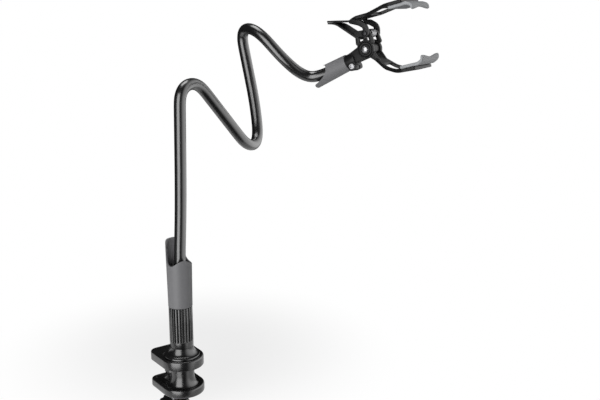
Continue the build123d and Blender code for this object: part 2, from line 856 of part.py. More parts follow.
with BuildPart() as clip_lower_half:
    with BuildSketch(clip_plane):
        with BuildLine():
            FilletPolyline(lower_tip, lower_bow, lower_root, radius=lower_handle_bend)
        trace(line_width=handle_thickness)
        with BuildLine():
            FilletPolyline(
                lower_arm_start,
                lower_knee,
                (jaw_bend, lower_jaw_height),
                (jaw_end, lower_jaw_height),
                radius=lower_arm_bend,
            )
        trace(line_width=arm_thickness)
    extrude(amount=clip_half_width, both=True)
    with BuildSketch(clip_plan):
        add(clip_outline(lower_plan))
    extrude(amount=clip_depth, both=True, mode=Mode.INTERSECT)
    with BuildSketch(clip_plan):
        add(clip_window(cheek_end, lower_window_start))
    extrude(amount=clip_depth, both=True, mode=Mode.SUBTRACT)
    for start in (cheek_start, -cheek_end):
        with BuildSketch(clip_plane.offset(start)):
            Circle(hub_radius)
            add(link(cheek_bar_end, cheek_bar_radius, clip_pivot, pivot_eye_radius))
            add(link(cheek_heel_top, cheek_heel_radius, cheek_heel, cheek_heel_radius))
            add(link(cheek_post_foot, cheek_post_radius, cheek_post_top, cheek_post_radius))
            add(link(cheek_hip, cheek_hip_radius, cheek_toe, cheek_toe_radius))
            Circle(tilt_screw_radius + fit_gap, mode=Mode.SUBTRACT)
            with Locations(clip_pivot):
                Circle(pivot_radius + fit_gap, mode=Mode.SUBTRACT)
        extrude(amount=cheek_thickness)
    for face, way in ((cheek_end, -1), (-cheek_end, 1)):
        with BuildSketch(clip_plane.offset(face)):
            Circle(hub_groove_outer)
            Circle(hub_groove_inner, mode=Mode.SUBTRACT)
        extrude(amount=way * hub_groove_depth, mode=Mode.SUBTRACT)
save(clip_lower_half, "clip_lower_half")

with BuildPart() as clip_pin:
    with BuildSketch(clip_plane.offset(-lug_end - face_gap)):
        with Locations(clip_pivot):
            Circle(pivot_radius)
    extrude(amount=2 * (lug_end + face_gap))
    for start in (lug_end + face_gap, -lug_end - face_gap - pivot_head_height):
        with BuildSketch(clip_plane.offset(start)):
            with Locations(clip_pivot):
                Circle(pivot_head_radius)
        extrude(amount=pivot_head_height)
save(clip_pin, "clip_pin")


def grip_pad(height, way):
    """A soft pad on a jaw's flat end, with a lip that hooks over the gripped edge."""
    floor = height - way * (arm_thickness + grip_pad_thickness + 2 * face_gap) / 2
    with BuildPart() as pad:
        with BuildSketch(clip_plane):
            with BuildLine():
                FilletPolyline(
                    (jaw_flat_start, floor),
                    (grip_pad_flat_end, floor),
                    (grip_pad_knee, floor - way * grip_pad_knee_height),
                    (grip_pad_lip, floor - way * grip_pad_lip_height),
                    radius=grip_pad_bend,
                )
            trace(line_width=grip_pad_thickness)
        extrude(amount=grip_pad_half_width, both=True)
    return pad


upper_grip_pad = grip_pad(upper_jaw_height, 1)
save(upper_grip_pad, "upper_grip_pad")
lower_grip_pad = grip_pad(lower_jaw_height, -1)
save(lower_grip_pad, "lower_grip_pad")

# The spring is wound left-handed, so each leg leaves the coil towards its own handle.
coil_start_turn = spring_lower_leg_turn - 90
coil_end_turn = spring_upper_leg_turn + 90
part_turn = (coil_start_turn - coil_end_turn) % 360 / 360
coil_height = spring_pitch * (spring_turns + part_turn)
coil_start = math.radians(coil_start_turn)
pivot_origin = clip_plane.from_local_coords((*clip_pivot, -coil_height / 2))
coil_x = clip_plane.x_dir * math.cos(coil_start) + clip_plane.y_dir * math.sin(coil_start)
coil_plane = Plane(origin=pivot_origin, x_dir=coil_x, z_dir=clip_plane.z_dir)

with BuildPart() as clip_spring:
    with BuildLine() as coil:
        winding = Helix(
            spring_pitch, coil_height, spring_radius, lefthand=True, mode=Mode.PRIVATE
        )
        add(coil_plane.location * winding)
    with BuildSketch(Plane(origin=coil.line @ 0, z_dir=coil.line % 0)):
        Circle(spring_wire_radius)
    sweep(path=coil.line, is_frenet=True)
    with BuildSketch(Plane(origin=coil.line @ 0, z_dir=coil.line % 0)):
        Circle(spring_wire_radius)
    extrude(amount=-spring_lower_leg)
    with BuildSketch(Plane(origin=coil.line @ 1, z_dir=coil.line % 1)):
        Circle(spring_wire_radius)
    extrude(amount=spring_upper_leg)
save(clip_spring, "clip_spring")
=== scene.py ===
"""Studio scene of a gooseneck holder with a screw clamp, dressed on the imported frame.

Sizes are in millimetres, in the frame's own axes: the origin lies on the upper jaw's gripping
face, on the clamp screw's axis, +Z is up and +Y points out of the clamp's mouth.
"""

import json
import logging
import math
from dataclasses import dataclass, field, replace
from enum import Enum

import bmesh
import bpy
import numpy as np
from mathutils import Matrix, Vector

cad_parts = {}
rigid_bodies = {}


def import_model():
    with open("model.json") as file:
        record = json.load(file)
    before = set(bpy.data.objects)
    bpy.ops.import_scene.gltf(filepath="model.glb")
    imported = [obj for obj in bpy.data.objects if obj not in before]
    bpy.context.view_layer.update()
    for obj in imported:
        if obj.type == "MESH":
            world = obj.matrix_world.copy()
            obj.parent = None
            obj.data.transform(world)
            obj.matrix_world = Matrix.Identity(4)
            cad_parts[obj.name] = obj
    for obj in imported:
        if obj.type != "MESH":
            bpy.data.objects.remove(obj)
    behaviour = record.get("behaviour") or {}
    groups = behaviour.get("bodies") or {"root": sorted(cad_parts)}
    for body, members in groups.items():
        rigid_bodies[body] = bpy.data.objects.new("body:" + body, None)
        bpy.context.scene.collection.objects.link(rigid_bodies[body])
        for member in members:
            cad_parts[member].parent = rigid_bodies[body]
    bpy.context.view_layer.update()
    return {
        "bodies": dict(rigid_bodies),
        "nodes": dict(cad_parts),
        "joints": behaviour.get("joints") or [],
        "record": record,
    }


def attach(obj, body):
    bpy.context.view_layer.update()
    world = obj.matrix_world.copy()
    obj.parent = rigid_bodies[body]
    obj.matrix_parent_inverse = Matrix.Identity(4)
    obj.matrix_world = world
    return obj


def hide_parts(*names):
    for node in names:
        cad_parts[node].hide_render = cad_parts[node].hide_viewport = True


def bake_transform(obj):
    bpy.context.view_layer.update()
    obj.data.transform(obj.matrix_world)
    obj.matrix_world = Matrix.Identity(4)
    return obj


LOG = logging.getLogger("holder")
MM = 0.001
# Name of the point attribute with the flute depth that drives the shade painted into the grip's grooves.
PAINTED_SHADE_DEPTH = "hollow"
WHITE = (1.0, 1.0, 1.0, 1.0)
Point = tuple[float, float, float]
Flat = tuple[float, float]


class Body(str, Enum):
    """The rigid bodies of the frame that pieces ride on."""

    BASE = "base"
    FOOT = "clamp_foot"
    SCREW = "clamp_screw"
    DESCENT = "descent"
    RISE = "second_rise"
    REACH = "reach"
    KNUCKLE = "knuckle"
    CLIP = "clip"
    CLIP_UPPER = "clip_upper"


class Slot(str, Enum):
    """The record's material slots."""

    PLASTIC = "black_plastic"
    SLEEVE = "grey_sleeve"
    SHEATH = "neck_sheath"
    RUBBER = "black_rubber"
    PAD = "soft_pad"
    STEEL = "zinc_steel"
    BLACK_STEEL = "black_steel"
    BRASS = "brass"
    NYLON = "nylon"


# Nodes and finishes


def add_node(
    tree: bpy.types.NodeTree, kind: str, inputs: dict[str | int, object] | None = None, **settings: object
) -> bpy.types.Node:
    """Add a node to a tree.

    Args:
        tree: The tree.
        kind: The node's type.
        inputs: For each input, by name or number, the socket to link from or the value to set.
        settings: The node's own options.

    Returns:
        The node.
    """
    node = tree.nodes.new(kind)
    for name, value in settings.items():
        setattr(node, name, value)
    for key, value in (inputs or {}).items():
        if isinstance(value, bpy.types.NodeSocket):
            tree.links.new(value, node.inputs[key])
        else:
            node.inputs[key].default_value = value
    return node


def new_group(
    name: str, inputs: dict[str, float], outputs: list[str]
) -> tuple[bpy.types.NodeTree, bpy.types.NodeOutputs, bpy.types.NodeInputs]:
    """Start a shader node group with float sockets.

    Args:
        name: The group's name.
        inputs: Default value of each named input.
        outputs: Names of the outputs.

    Returns:
        The group, the sockets that bring its inputs, and those that take its outputs.
    """
    group = bpy.data.node_groups.new(name, "ShaderNodeTree")
    for label, value in inputs.items():
        socket = group.interface.new_socket(label, in_out="INPUT", socket_type="NodeSocketFloat")
        socket.default_value = value
    for label in outputs:
        group.interface.new_socket(label, in_out="OUTPUT", socket_type="NodeSocketFloat")
    return group, add_node(group, "NodeGroupInput").outputs, add_node(group, "NodeGroupOutput").inputs


class ShaderGroups:
    """The effects that several finishes share, each built once."""

    def __init__(self) -> None:
        """Build both groups."""
        self.grain = self._moulded_grain()
        self.handling = self._handling()

    @staticmethod
    def _moulded_grain() -> bpy.types.NodeTree:
        """Fine spark-eroded grain of a moulded surface, as a height and a mask.

        Returns:
            The group.
        """
        group, source, result = new_group(
            "moulded_grain", {"Scale": 2600.0, "Stretch": 1.0}, ["Height", "Mask"]
        )
        place = add_node(group, "ShaderNodeTexCoord").outputs["Object"]
        squeeze = add_node(group, "ShaderNodeCombineXYZ", {"X": 1.0, "Y": 1.0, "Z": source["Stretch"]})
        stretched = add_node(
            group, "ShaderNodeVectorMath", {0: place, 1: squeeze.outputs["Vector"]}, operation="MULTIPLY"
        )
        where = {"Vector": stretched.outputs["Vector"], "Scale": source["Scale"]}
        cells = add_node(group, "ShaderNodeTexVoronoi", where, feature="SMOOTH_F1")
        cloud = add_node(group, "ShaderNodeTexNoise", {**where, "Detail": 4.0})
        total = add_node(
            group,
            "ShaderNodeMath",
            {0: cells.outputs["Distance"], 1: 0.6, 2: cloud.outputs["Fac"]},
            operation="MULTIPLY_ADD",
        )
        group.links.new(total.outputs["Value"], result["Height"])
        group.links.new(cloud.outputs["Fac"], result["Mask"])
        return group

    @staticmethod
    def _handling() -> bpy.types.NodeTree:
        """Broad soft patches and faint streaks left by handling, as a mask from 0 to 1.

        Returns:
            The group.
        """
        group, source, result = new_group("handling", {"Patch": 22.0, "Streak": 240.0}, ["Mask"])
        place = add_node(group, "ShaderNodeTexCoord").outputs["Object"]
        patches = add_node(
            group,
            "ShaderNodeTexNoise",
            {"Vector": place, "Scale": source["Patch"], "Detail": 5.0, "Roughness": 0.6},
        )
        streaks = add_node(
            group,
            "ShaderNodeTexNoise",
            {"Vector": place, "Scale": source["Streak"], "Detail": 2.0, "Distortion": 1.5},
        )
        both = add_node(
            group,
            "ShaderNodeMath",
            {0: patches.outputs["Fac"], 1: streaks.outputs["Fac"]},
            operation="MULTIPLY",
        )
        spread = add_node(
            group,
            "ShaderNodeMapRange",
            {"Value": both.outputs["Value"], "From Min": 0.12, "From Max": 0.42},
        )
        group.links.new(spread.outputs["Result"], result["Mask"])
        return group


@dataclass(frozen=True)
class Finish:
    """A surface finish: two close shades, a range of roughness and a fine grain.

    Colours are linear. Grain depth is in metres. Where painted_groove_shade is set, shade is
    painted into the hollows that a piece's own depth attribute marks: they turn metallic over
    the near-black colour and lose their coat, so they render dark.
    """

    name: str
    shade: Point
    worn_shade: Point
    roughness: Flat
    metallic: float = 0.0
    grain_scale: float = 2600.0
    grain_depth: float = 0.00004
    grain_strength: float = 0.25
    stretch: float = 1.0
    patch_scale: float = 22.0
    specular: float = 0.5
    coat: float = 0.0
    coat_roughness: float = 0.22
    # Paints shade into the hollows that a piece's depth attribute marks.
    painted_groove_shade: bool = False

    def build(self, groups: ShaderGroups) -> bpy.types.Material:
        """Make the material.

        Args:
            groups: The shared node groups.

        Returns:
            The new material.
        """
        material = bpy.data.materials.new(self.name)
        material.use_nodes = True
        tree = material.node_tree
        shader = tree.nodes["Principled BSDF"].inputs
        shader["Metallic"].default_value = self.metallic
        shader["Specular IOR Level"].default_value = self.specular
        shader["Coat Weight"].default_value = self.coat
        shader["Coat Roughness"].default_value = self.coat_roughness
        handling = add_node(
            tree, "ShaderNodeGroup", {"Patch": self.patch_scale}, node_tree=groups.handling
        )
        worn = handling.outputs["Mask"]
        grain = add_node(
            tree,
            "ShaderNodeGroup",
            {"Scale": self.grain_scale, "Stretch": self.stretch},
            node_tree=groups.grain,
        )
        colour = add_node(
            tree,
            "ShaderNodeMix",
            {"Factor": worn, "A": (*self.shade, 1.0), "B": (*self.worn_shade, 1.0)},
            data_type="RGBA",
        )
        handled = add_node(tree, "ShaderNodeMath", {0: worn, 1: 0.6}, operation="MULTIPLY")
        dullness = add_node(
            tree,
            "ShaderNodeMath",
            {0: grain.outputs["Mask"], 1: 0.4, 2: handled.outputs["Value"]},
            operation="MULTIPLY_ADD",
        )
        gloss = add_node(
            tree,
            "ShaderNodeMapRange",
            {"Value": dullness.outputs["Value"], "To Min": self.roughness[0], "To Max": self.roughness[1]},
        )
        bump = add_node(
            tree,
            "ShaderNodeBump",
            {
                "Height": grain.outputs["Height"],
                "Strength": self.grain_strength,
                "Distance": self.grain_depth,
            },
        )
        tree.links.new(colour.outputs["Result"], shader["Base Color"])
        tree.links.new(gloss.outputs["Result"], shader["Roughness"])
        tree.links.new(bump.outputs["Normal"], shader["Normal"])
        # Painted shade in the hollows: the depth attribute makes them metallic over the near-black colour
        # and takes their coat away, so they render dark.
        if self.painted_groove_shade:
            hollow = add_node(tree, "ShaderNodeAttribute", attribute_name=PAINTED_SHADE_DEPTH).outputs["Fac"]
            thinned = add_node(
                tree, "ShaderNodeMapRange", {"Value": hollow, "To Min": self.coat, "To Max": 0.0}
            )
            tree.links.new(thinned.outputs["Result"], shader["Coat Weight"])
            tree.links.new(hollow, shader["Metallic"])
        return material


FINISHES: dict[Slot, Finish] = {
    Slot.PLASTIC: Finish(
        "black satin plastic",
        (0.0042, 0.0042, 0.0045),
        (0.0070, 0.0070, 0.0074),
        (0.22, 0.32),
        grain_strength=0.03,
        specular=0.9,
        coat=0.6,
    ),
    Slot.SLEEVE: Finish(
        "grey textured sleeve",
        (0.160, 0.160, 0.166),
        (0.180, 0.180, 0.187),
        (0.46, 0.56),
        grain_scale=1900.0,
        grain_strength=0.08,
    ),
    Slot.SHEATH: Finish(
        "black neck sheath",
        (0.0042, 0.0042, 0.0045),
        (0.0070, 0.0070, 0.0074),
        (0.26, 0.32),
        grain_scale=1500.0,
        grain_strength=0.01,
        specular=1.0,
        coat=0.9,
        stretch=0.25,
    ),
    Slot.RUBBER: Finish("black rubber pad", (0.014, 0.014, 0.014), (0.026, 0.026, 0.026), (0.62, 0.85)),
    Slot.PAD: Finish(
        "soft grey grip pad",
        (0.30, 0.31, 0.32),
        (0.36, 0.37, 0.38),
        (0.34, 0.50),
        grain_scale=1200.0,
        grain_strength=0.02,
    ),
    Slot.STEEL: Finish(
        "bright zinc plated steel",
        (0.60, 0.60, 0.61),
        (0.50, 0.50, 0.52),
        (0.34, 0.50),
        metallic=1.0,
        grain_scale=3600.0,
        grain_strength=0.1,
    ),
    Slot.BLACK_STEEL: Finish(
        "blackened steel",
        (0.030, 0.030, 0.032),
        (0.055, 0.055, 0.058),
        (0.30, 0.48),
        metallic=0.8,
    ),
    Slot.BRASS: Finish("turned brass", (0.60, 0.42, 0.17), (0.50, 0.34, 0.14), (0.22, 0.38), metallic=1.0),
    Slot.NYLON: Finish("natural nylon washer", (0.62, 0.60, 0.54), (0.56, 0.54, 0.48), (0.40, 0.55)),
}

DULL_PLASTIC = Finish(
    "black dull plastic",
    (0.0052, 0.0052, 0.0055),
    (0.0080, 0.0080, 0.0084),
    (0.34, 0.44),
    grain_strength=0.03,
    specular=0.34,
)
# The grip's plastic, with shade painted into its flutes by their depth.
GROOVE_SHADED_PLASTIC = replace(FINISHES[Slot.PLASTIC], name="black plastic with painted groove shade", painted_groove_shade=True)
DULL_BODIES = (Body.KNUCKLE, Body.CLIP, Body.CLIP_UPPER)


# Mesh forms


def rounded_path(
    points: list[Flat], radii: list[float], closed: bool = False, steps: int = 8
) -> np.ndarray:
    """Round the corners of a flat path with arcs.

    Args:
        points: The path's corners.
        radii: Arc radius at each corner; at the ends of an open path it isn't used.
        closed: Whether the path returns to its start.
        steps: Segments in each arc.

    Returns:
        The points of the rounded path, one per row.
    """
    corners = np.array(points, float)
    count = len(corners)
    made: list[np.ndarray] = []
    for index, corner in enumerate(corners):
        if not closed and index in (0, count - 1):
            made.append(corner)
            continue
        back = corners[index - 1] - corner
        ahead = corners[(index + 1) % count] - corner
        back_length, ahead_length = np.linalg.norm(back), np.linalg.norm(ahead)
        back, ahead = back / back_length, ahead / ahead_length
        opening = math.acos(float(np.clip(back @ ahead, -1, 1)))
        if radii[index] <= 0 or opening > math.pi - 1e-3:
            made.append(corner)
            continue
        reach = min(radii[index] / math.tan(opening / 2), 0.49 * min(back_length, ahead_length))
        radius = reach * math.tan(opening / 2)
        centre = corner + (back + ahead) / np.linalg.norm(back + ahead) * math.hypot(reach, radius)
        first, last = corner + back * reach - centre, corner + ahead * reach - centre
        angle = math.pi - opening
        for step in range(steps + 1):
            share = step / steps
            weight_a = math.sin((1 - share) * angle) / math.sin(angle)
            weight_b = math.sin(share * angle) / math.sin(angle)
            made.append(centre + weight_a * first + weight_b * last)
    return np.array(made)


def circle(radius: float, segments: int, centre: Flat = (0.0, 0.0)) -> np.ndarray:
    """Points of a flat circle, anticlockwise from +x."""
    turn = np.linspace(0, 2 * math.pi, segments, endpoint=False)
    return np.stack([centre[0] + radius * np.cos(turn), centre[1] + radius * np.sin(turn)], 1)


def belt(discs: list[tuple[float, float, float]], segments: int = 96) -> np.ndarray:
    """The outline of a band stretched round several discs.

    Args:
        discs: Centre and radius of each disc.
        segments: Number of points on the outline.

    Returns:
        The outline's points, anticlockwise.
    """
    turn = np.linspace(0, 2 * math.pi, segments, endpoint=False)
    aim = np.stack([np.cos(turn), np.sin(turn)], 1)
    centres = np.array([(x, y) for x, y, _ in discs])
    radii = np.array([r for _, _, r in discs])
    best = np.argmax(aim @ centres.T + radii, axis=1)
    return centres[best] + radii[best, None] * aim


def inset(outline: np.ndarray, amount: float) -> np.ndarray:
    """Move a closed anticlockwise outline inwards by an amount, point by point.

    Args:
        outline: The outline.
        amount: How far to move it.

    Returns:
        The moved outline.
    """
    ahead = np.roll(outline, -1, 0) - outline
    ahead /= np.maximum(np.linalg.norm(ahead, axis=1, keepdims=True), 1e-9)
    along = ahead + np.roll(ahead, 1, 0)
    along /= np.maximum(np.linalg.norm(along, axis=1, keepdims=True), 1e-9)
    inward = np.stack([-along[:, 1], along[:, 0]], 1)
    return outline + inward * amount


def lengths_along(path: np.ndarray) -> np.ndarray:
    """Length of a path up to each of its points."""
    return np.concatenate([[0.0], np.cumsum(np.linalg.norm(np.diff(path, axis=0), axis=1))])


def dense(path: np.ndarray, step: float) -> np.ndarray:
    """Add points to a flat path so that none lie further apart than a step.

    Args:
        path: The path.
        step: The widest spacing.

    Returns:
        The path with the added points.
    """
    made = [path[0]]
    for here, there in zip(path[:-1], path[1:]):
        parts = max(1, math.ceil(float(np.linalg.norm(there - here)) / step))
        for part in range(1, parts + 1):
            made.append(here + (there - here) * part / parts)
    return np.array(made)


def limb(spine: list[Flat], radii: list[float], bend: float = 6.0) -> np.ndarray:
    """The outline of a round-ended limb that follows a bent line.

    Args:
        spine: Corners of its centre line.
        radii: Its half width at each corner.
        bend: Radius of the centre line's bends.

    Returns:
        The closed outline, anticlockwise.
    """
    line = dense(rounded_path(spine, [bend] * len(spine), steps=10), 0.7)
    gone = lengths_along(line)
    near = [int(np.argmin(np.linalg.norm(line - np.array(corner), axis=1))) for corner in spine]
    half = np.interp(gone, gone[near], radii)[:, None]
    way = np.gradient(line, axis=0)
    way /= np.linalg.norm(way, axis=1, keepdims=True)
    left = np.stack([-way[:, 1], way[:, 0]], 1)

    def cap(end: int, turn: float) -> np.ndarray:
        """Half a circle round one end, from a direction given relative to the line's.

        Args:
            end: Which end.
            turn: Where to start, from the line's way.

        Returns:
            Points between the sides.
        """
        first = math.atan2(way[end, 1], way[end, 0]) + turn
        angle = np.linspace(first, first + math.pi, 17)[1:-1]
        return line[end] + half[end] * np.stack([np.cos(angle), np.sin(angle)], 1)

    right_side, left_side = line - left * half, line + left * half
    return np.vstack([right_side, cap(-1, -math.pi / 2), left_side[::-1], cap(0, math.pi / 2)])


def quarter(steps: int) -> list[Flat]:
    """One less the sine and one less the cosine, at even steps over a quarter turn."""
    turns = [step / steps * math.pi / 2 for step in range(steps + 1)]
    return [(1 - math.sin(turn), 1 - math.cos(turn)) for turn in turns]


def at_height(outline: np.ndarray, height: float) -> np.ndarray:
    """Lift a flat outline to a height."""
    return np.column_stack([outline, np.full(len(outline), height)])


@dataclass
class Shell:
    """Vertices and faces of a form, in millimetres in its own axes."""

    points: list[Point] = field(default_factory=list)
    faces: list[list[int]] = field(default_factory=list)

    def loft(self, loops: list[np.ndarray], closed: bool = False) -> "Shell":
        """Skin a row of closed loops of equal length.

        Args:
            loops: Loops of points.
            closed: Whether the last loop joins the first; if not, a face closes each end.

        Returns:
            The shell itself.
        """
        first, size = len(self.points), len(loops[0])
        for loop in loops:
            self.points.extend(map(tuple, loop))
        rows = [first + row * size for row in range(len(loops))]
        for low, high in zip(rows, [*rows[1:], *rows[:1]] if closed else rows[1:]):
            for index in range(size):
                after = (index + 1) % size
                self.faces.append([low + index, low + after, high + after, high + index])
        if not closed:
            self.faces.append(list(range(first + size - 1, first - 1, -1)))
            self.faces.append(list(range(rows[-1], rows[-1] + size)))
        return self

    def lathe(self, profile: np.ndarray, segments: int = 96, closed: bool = False) -> "Shell":
        """Turn a profile of (radius, height) points about z.

        Args:
            profile: The profile, from its low end to its high end.
            segments: Steps in a turn.
            closed: Whether the profile returns to its start.

        Returns:
            The shell itself.
        """
        return self.loft([at_height(circle(r, segments), h) for r, h in profile], closed)

    def prism(
        self, outline: np.ndarray, low: float, high: float, low_round: float, high_round: float
    ) -> "Shell":
        """Raise an outline between two heights, with rounded edges at both ends.

        Args:
            outline: The outline, anticlockwise.
            low: Its lower height.
            high: Its upper height.
            low_round: Rounding of the lower edge.
            high_round: Rounding of the upper edge.

        Returns:
            The shell itself.
        """
        loops = []
        for across, along in quarter(4):
            loops.append(at_height(inset(outline, low_round * across), low + low_round * along))
        for along, across in quarter(4):
            loops.append(at_height(inset(outline, high_round * across), high - high_round * along))
        return self.loft(loops)

    def add(self, other: "Shell", matrix: Matrix | None = None) -> "Shell":
        """Take in another shell, moved by a matrix where one is given.

        Args:
            other: The other shell.
            matrix: Where to move it.

        Returns:
            The shell itself.
        """
        first = len(self.points)
        for point in other.points:
            self.points.append(tuple(matrix @ Vector(point)) if matrix else point)
        self.faces.extend([[first + index for index in face] for face in other.faces])
        return self


def hexagon(radius: float, segments: int) -> np.ndarray:
    """Points round a hexagon of a given corner radius, evenly spread by direction.

    Args:
        radius: Its corner radius.
        segments: Number of points.

    Returns:
        The points.
    """
    turn = np.linspace(0, 2 * math.pi, segments, endpoint=False)
    off = (turn + math.pi / 6) % (math.pi / 3) - math.pi / 6
    reach = radius * math.cos(math.pi / 6) / np.cos(off)
    return np.stack([reach * np.cos(turn), reach * np.sin(turn)], 1)


def socket_head(
    radius: float, low: float, high: float, socket: float, depth: float, segments: int = 60
) -> Shell:
    """A round screw head with a rounded edge and a hexagon socket.

    Args:
        radius: Radius of the head.
        low: Height of its seat.
        high: Height of its top.
        socket: Corner radius of the socket.
        depth: Depth of the socket.
        segments: Points in each loop.

    Returns:
        The head's shell about z.
    """
    soft = 0.35 * (high - low)
    loops = [
        at_height(circle(radius - 0.2, segments), low),
        at_height(circle(radius, segments), low + 0.2),
    ]
    for along, across in quarter(5):
        loops.append(at_height(circle(radius - soft * across, segments), high - soft * along))
    loops.append(at_height(hexagon(socket * 1.08, segments), high))
    loops.append(at_height(hexagon(socket, segments), high - 0.15))
    loops.append(at_height(hexagon(socket, segments), high - depth))
    return Shell().loft(loops)


def hex_nut(radius: float, low: float, high: float, bore: float, segments: int = 72) -> Shell:
    """A hexagon nut with its corners turned down at both ends.

    Args:
        radius: Corner radius.
        low: Height of its lower face.
        high: Height of its upper face.
        bore: Radius of its bore.
        segments: Points in each loop.

    Returns:
        The nut's shell about z.
    """
    flat = radius * math.cos(math.pi / 6)
    corner = hexagon(radius, segments)
    reach = np.linalg.norm(corner, axis=1)
    turned = corner * (np.minimum(reach, flat + 0.1) / reach)[:, None]
    drop = (reach - np.minimum(reach, flat + 0.1)) * 0.6
    round_bore = circle(bore, segments)
    loops = [
        at_height(round_bore, low),
        at_height(turned, low),
        np.column_stack([corner, low + drop + 0.1]),
        np.column_stack([corner, high - drop - 0.1]),
        at_height(turned, high),
        at_height(round_bore, high),
    ]
    return Shell().loft(loops, closed=True)


@dataclass(frozen=True)
class Axes:
    """A local frame in the model: an origin in millimetres and two of its directions."""

    origin: Point
    x: Point = (1.0, 0.0, 0.0)
    z: Point = (0.0, 0.0, 1.0)

    def matrix(self, scale: float = MM) -> Matrix:
        """The matrix from this frame, in millimetres, to the model's metres.

        Args:
            scale: Model units in a millimetre.

        Returns:
            The matrix.
        """
        z = Vector(self.z).normalized()
        x = Vector(self.x).normalized()
        y = z.cross(x)
        turn = Matrix((x, y, z)).transposed().to_4x4()
        return Matrix.Translation(Vector(self.origin) * scale) @ turn @ Matrix.Scale(scale, 4)

    def point(self, x: float, y: float, z: float = 0.0) -> Vector:
        """A local point in the model's millimetres."""
        return self.matrix(1.0) @ Vector((x, y, z))


CENTRE = Axes((0.0, 0.0, 0.0))


def linked(name: str, data: bpy.types.ID) -> bpy.types.Object:
    """A new object in the scene that carries some data.

    Args:
        name: The object's name.
        data: What it carries.

    Returns:
        The new object.
    """
    thing = bpy.data.objects.new(name, data)
    bpy.context.scene.collection.objects.link(thing)
    return thing


def curve_object(name: str, kind: str, lines: list[np.ndarray], closed: bool = False) -> bpy.types.Object:
    """Make a curve object.

    Args:
        name: The name of the piece that it is for.
        kind: The type of its splines.
        lines: Points of each spline, in space.
        closed: Whether each spline returns to its start.

    Returns:
        The new object, linked to the scene.
    """
    curve = bpy.data.curves.new(name, "CURVE")
    curve.dimensions = "3D"
    for line in lines:
        spline = curve.splines.new(kind)
        spline.points.add(len(line) - 1)
        for point, place in zip(spline.points, line):
            point.co = (*place, 1.0)
        spline.use_cyclic_u = closed
    return linked(name + "_route", curve)


def mesh_object(name: str, shell: Shell, axes: Axes, sharp: float = 40.0) -> bpy.types.Object:
    """Make an object at the origin from a shell in a local frame.

    Args:
        name: The piece's name.
        shell: Its form.
        axes: The frame that the form is drawn in.
        sharp: Angle in degrees above which an edge is shaded as a crease.

    Returns:
        The new object, linked to the scene.
    """
    mesh = bpy.data.meshes.new(name)
    mesh.from_pydata(shell.points, [], shell.faces)
    mesh.transform(axes.matrix())
    mesh.validate()
    return finish_mesh(name, mesh, sharp)


def finish_mesh(name: str, mesh: bpy.types.Mesh, sharp: float = 40.0) -> bpy.types.Object:
    """Turn a mesh into a smooth-shaded object whose faces point outwards.

    Args:
        name: The piece's name.
        mesh: Its mesh.
        sharp: Angle in degrees above which an edge is shaded as a crease.

    Returns:
        The new object, linked to the scene.
    """
    work = bmesh.new()
    work.from_mesh(mesh)
    bmesh.ops.remove_doubles(work, verts=work.verts, dist=1e-7)
    bmesh.ops.recalc_face_normals(work, faces=work.faces)
    work.to_mesh(mesh)
    work.free()
    mesh.shade_smooth()
    mesh.set_sharp_from_angle(angle=math.radians(sharp))
    return linked(name, mesh)


def plain_mesh(piece: bpy.types.Object) -> bpy.types.Mesh:
    """The evaluated mesh of an object, after which the object is removed.

    Args:
        piece: The object, with its modifiers live.

    Returns:
        The plain mesh.
    """
    graph = bpy.context.evaluated_depsgraph_get()
    graph.update()
    mesh = bpy.data.meshes.new_from_object(piece.evaluated_get(graph), depsgraph=graph)
    data = piece.data
    bpy.data.objects.remove(piece)
    if isinstance(data, bpy.types.Curve):
        bpy.data.curves.remove(data)
    return mesh


def cut_away(piece: bpy.types.Object, cutter: bpy.types.Object) -> bpy.types.Object:
    """Cut one solid out of another and apply the cut.

    Args:
        piece: The solid that is cut.
        cutter: What is cut out of it.

    Returns:
        The cut piece.
    """
    cut = piece.modifiers.new("cut", "BOOLEAN")
    cut.operation = "DIFFERENCE"
    cut.solver = "EXACT"
    cut.object = cutter
    name = piece.name
    mesh = plain_mesh(piece)
    bpy.data.objects.remove(cutter)
    return finish_mesh(name, mesh)


# Geometry node trees


class PieceTree:
    """A geometry node tree with named inputs that ends in a real mesh with its material."""

    def __init__(self, name: str, entry: str, sizes: dict[str, str]) -> None:
        """Start the tree.

        Args:
            name: The tree's name.
            entry: Name of the geometry that goes in.
            sizes: The kind of each named input.
        """
        self.tree = bpy.data.node_groups.new(name, "GeometryNodeTree")
        face = self.tree.interface
        face.new_socket(entry, in_out="INPUT", socket_type="NodeSocketGeometry")
        self.ids: dict[str, str] = {}
        for label, kind in {**sizes, "Finish": "Material"}.items():
            socket = face.new_socket(label, in_out="INPUT", socket_type="NodeSocket" + kind)
            self.ids[label] = socket.identifier
        face.new_socket("Mesh", in_out="OUTPUT", socket_type="NodeSocketGeometry")
        self.source = add_node(self.tree, "NodeGroupInput").outputs

    def end(self, shape: bpy.types.NodeSocket) -> None:
        """Realise the shape that the tree made and give it its material.

        Args:
            shape: The socket that puts the shape out.
        """
        real = add_node(self.tree, "GeometryNodeRealizeInstances", {"Geometry": shape})
        paint = add_node(
            self.tree,
            "GeometryNodeSetMaterial",
            {"Geometry": real.outputs["Geometry"], "Material": self.source["Finish"]},
        )
        add_node(self.tree, "NodeGroupOutput", {"Mesh": paint.outputs["Geometry"]})

    def run(self, piece: bpy.types.Object, **values: object) -> bpy.types.Mesh:
        """Run the tree on an object, which is used up.

        Args:
            piece: The object that carries the entry geometry.
            values: The value of each named input.

        Returns:
            The plain mesh that it makes.
        """
        modifier = piece.modifiers.new("tree", "NODES")
        modifier.node_group = self.tree
        for label, value in values.items():
            modifier[self.ids[label]] = value
        return plain_mesh(piece)


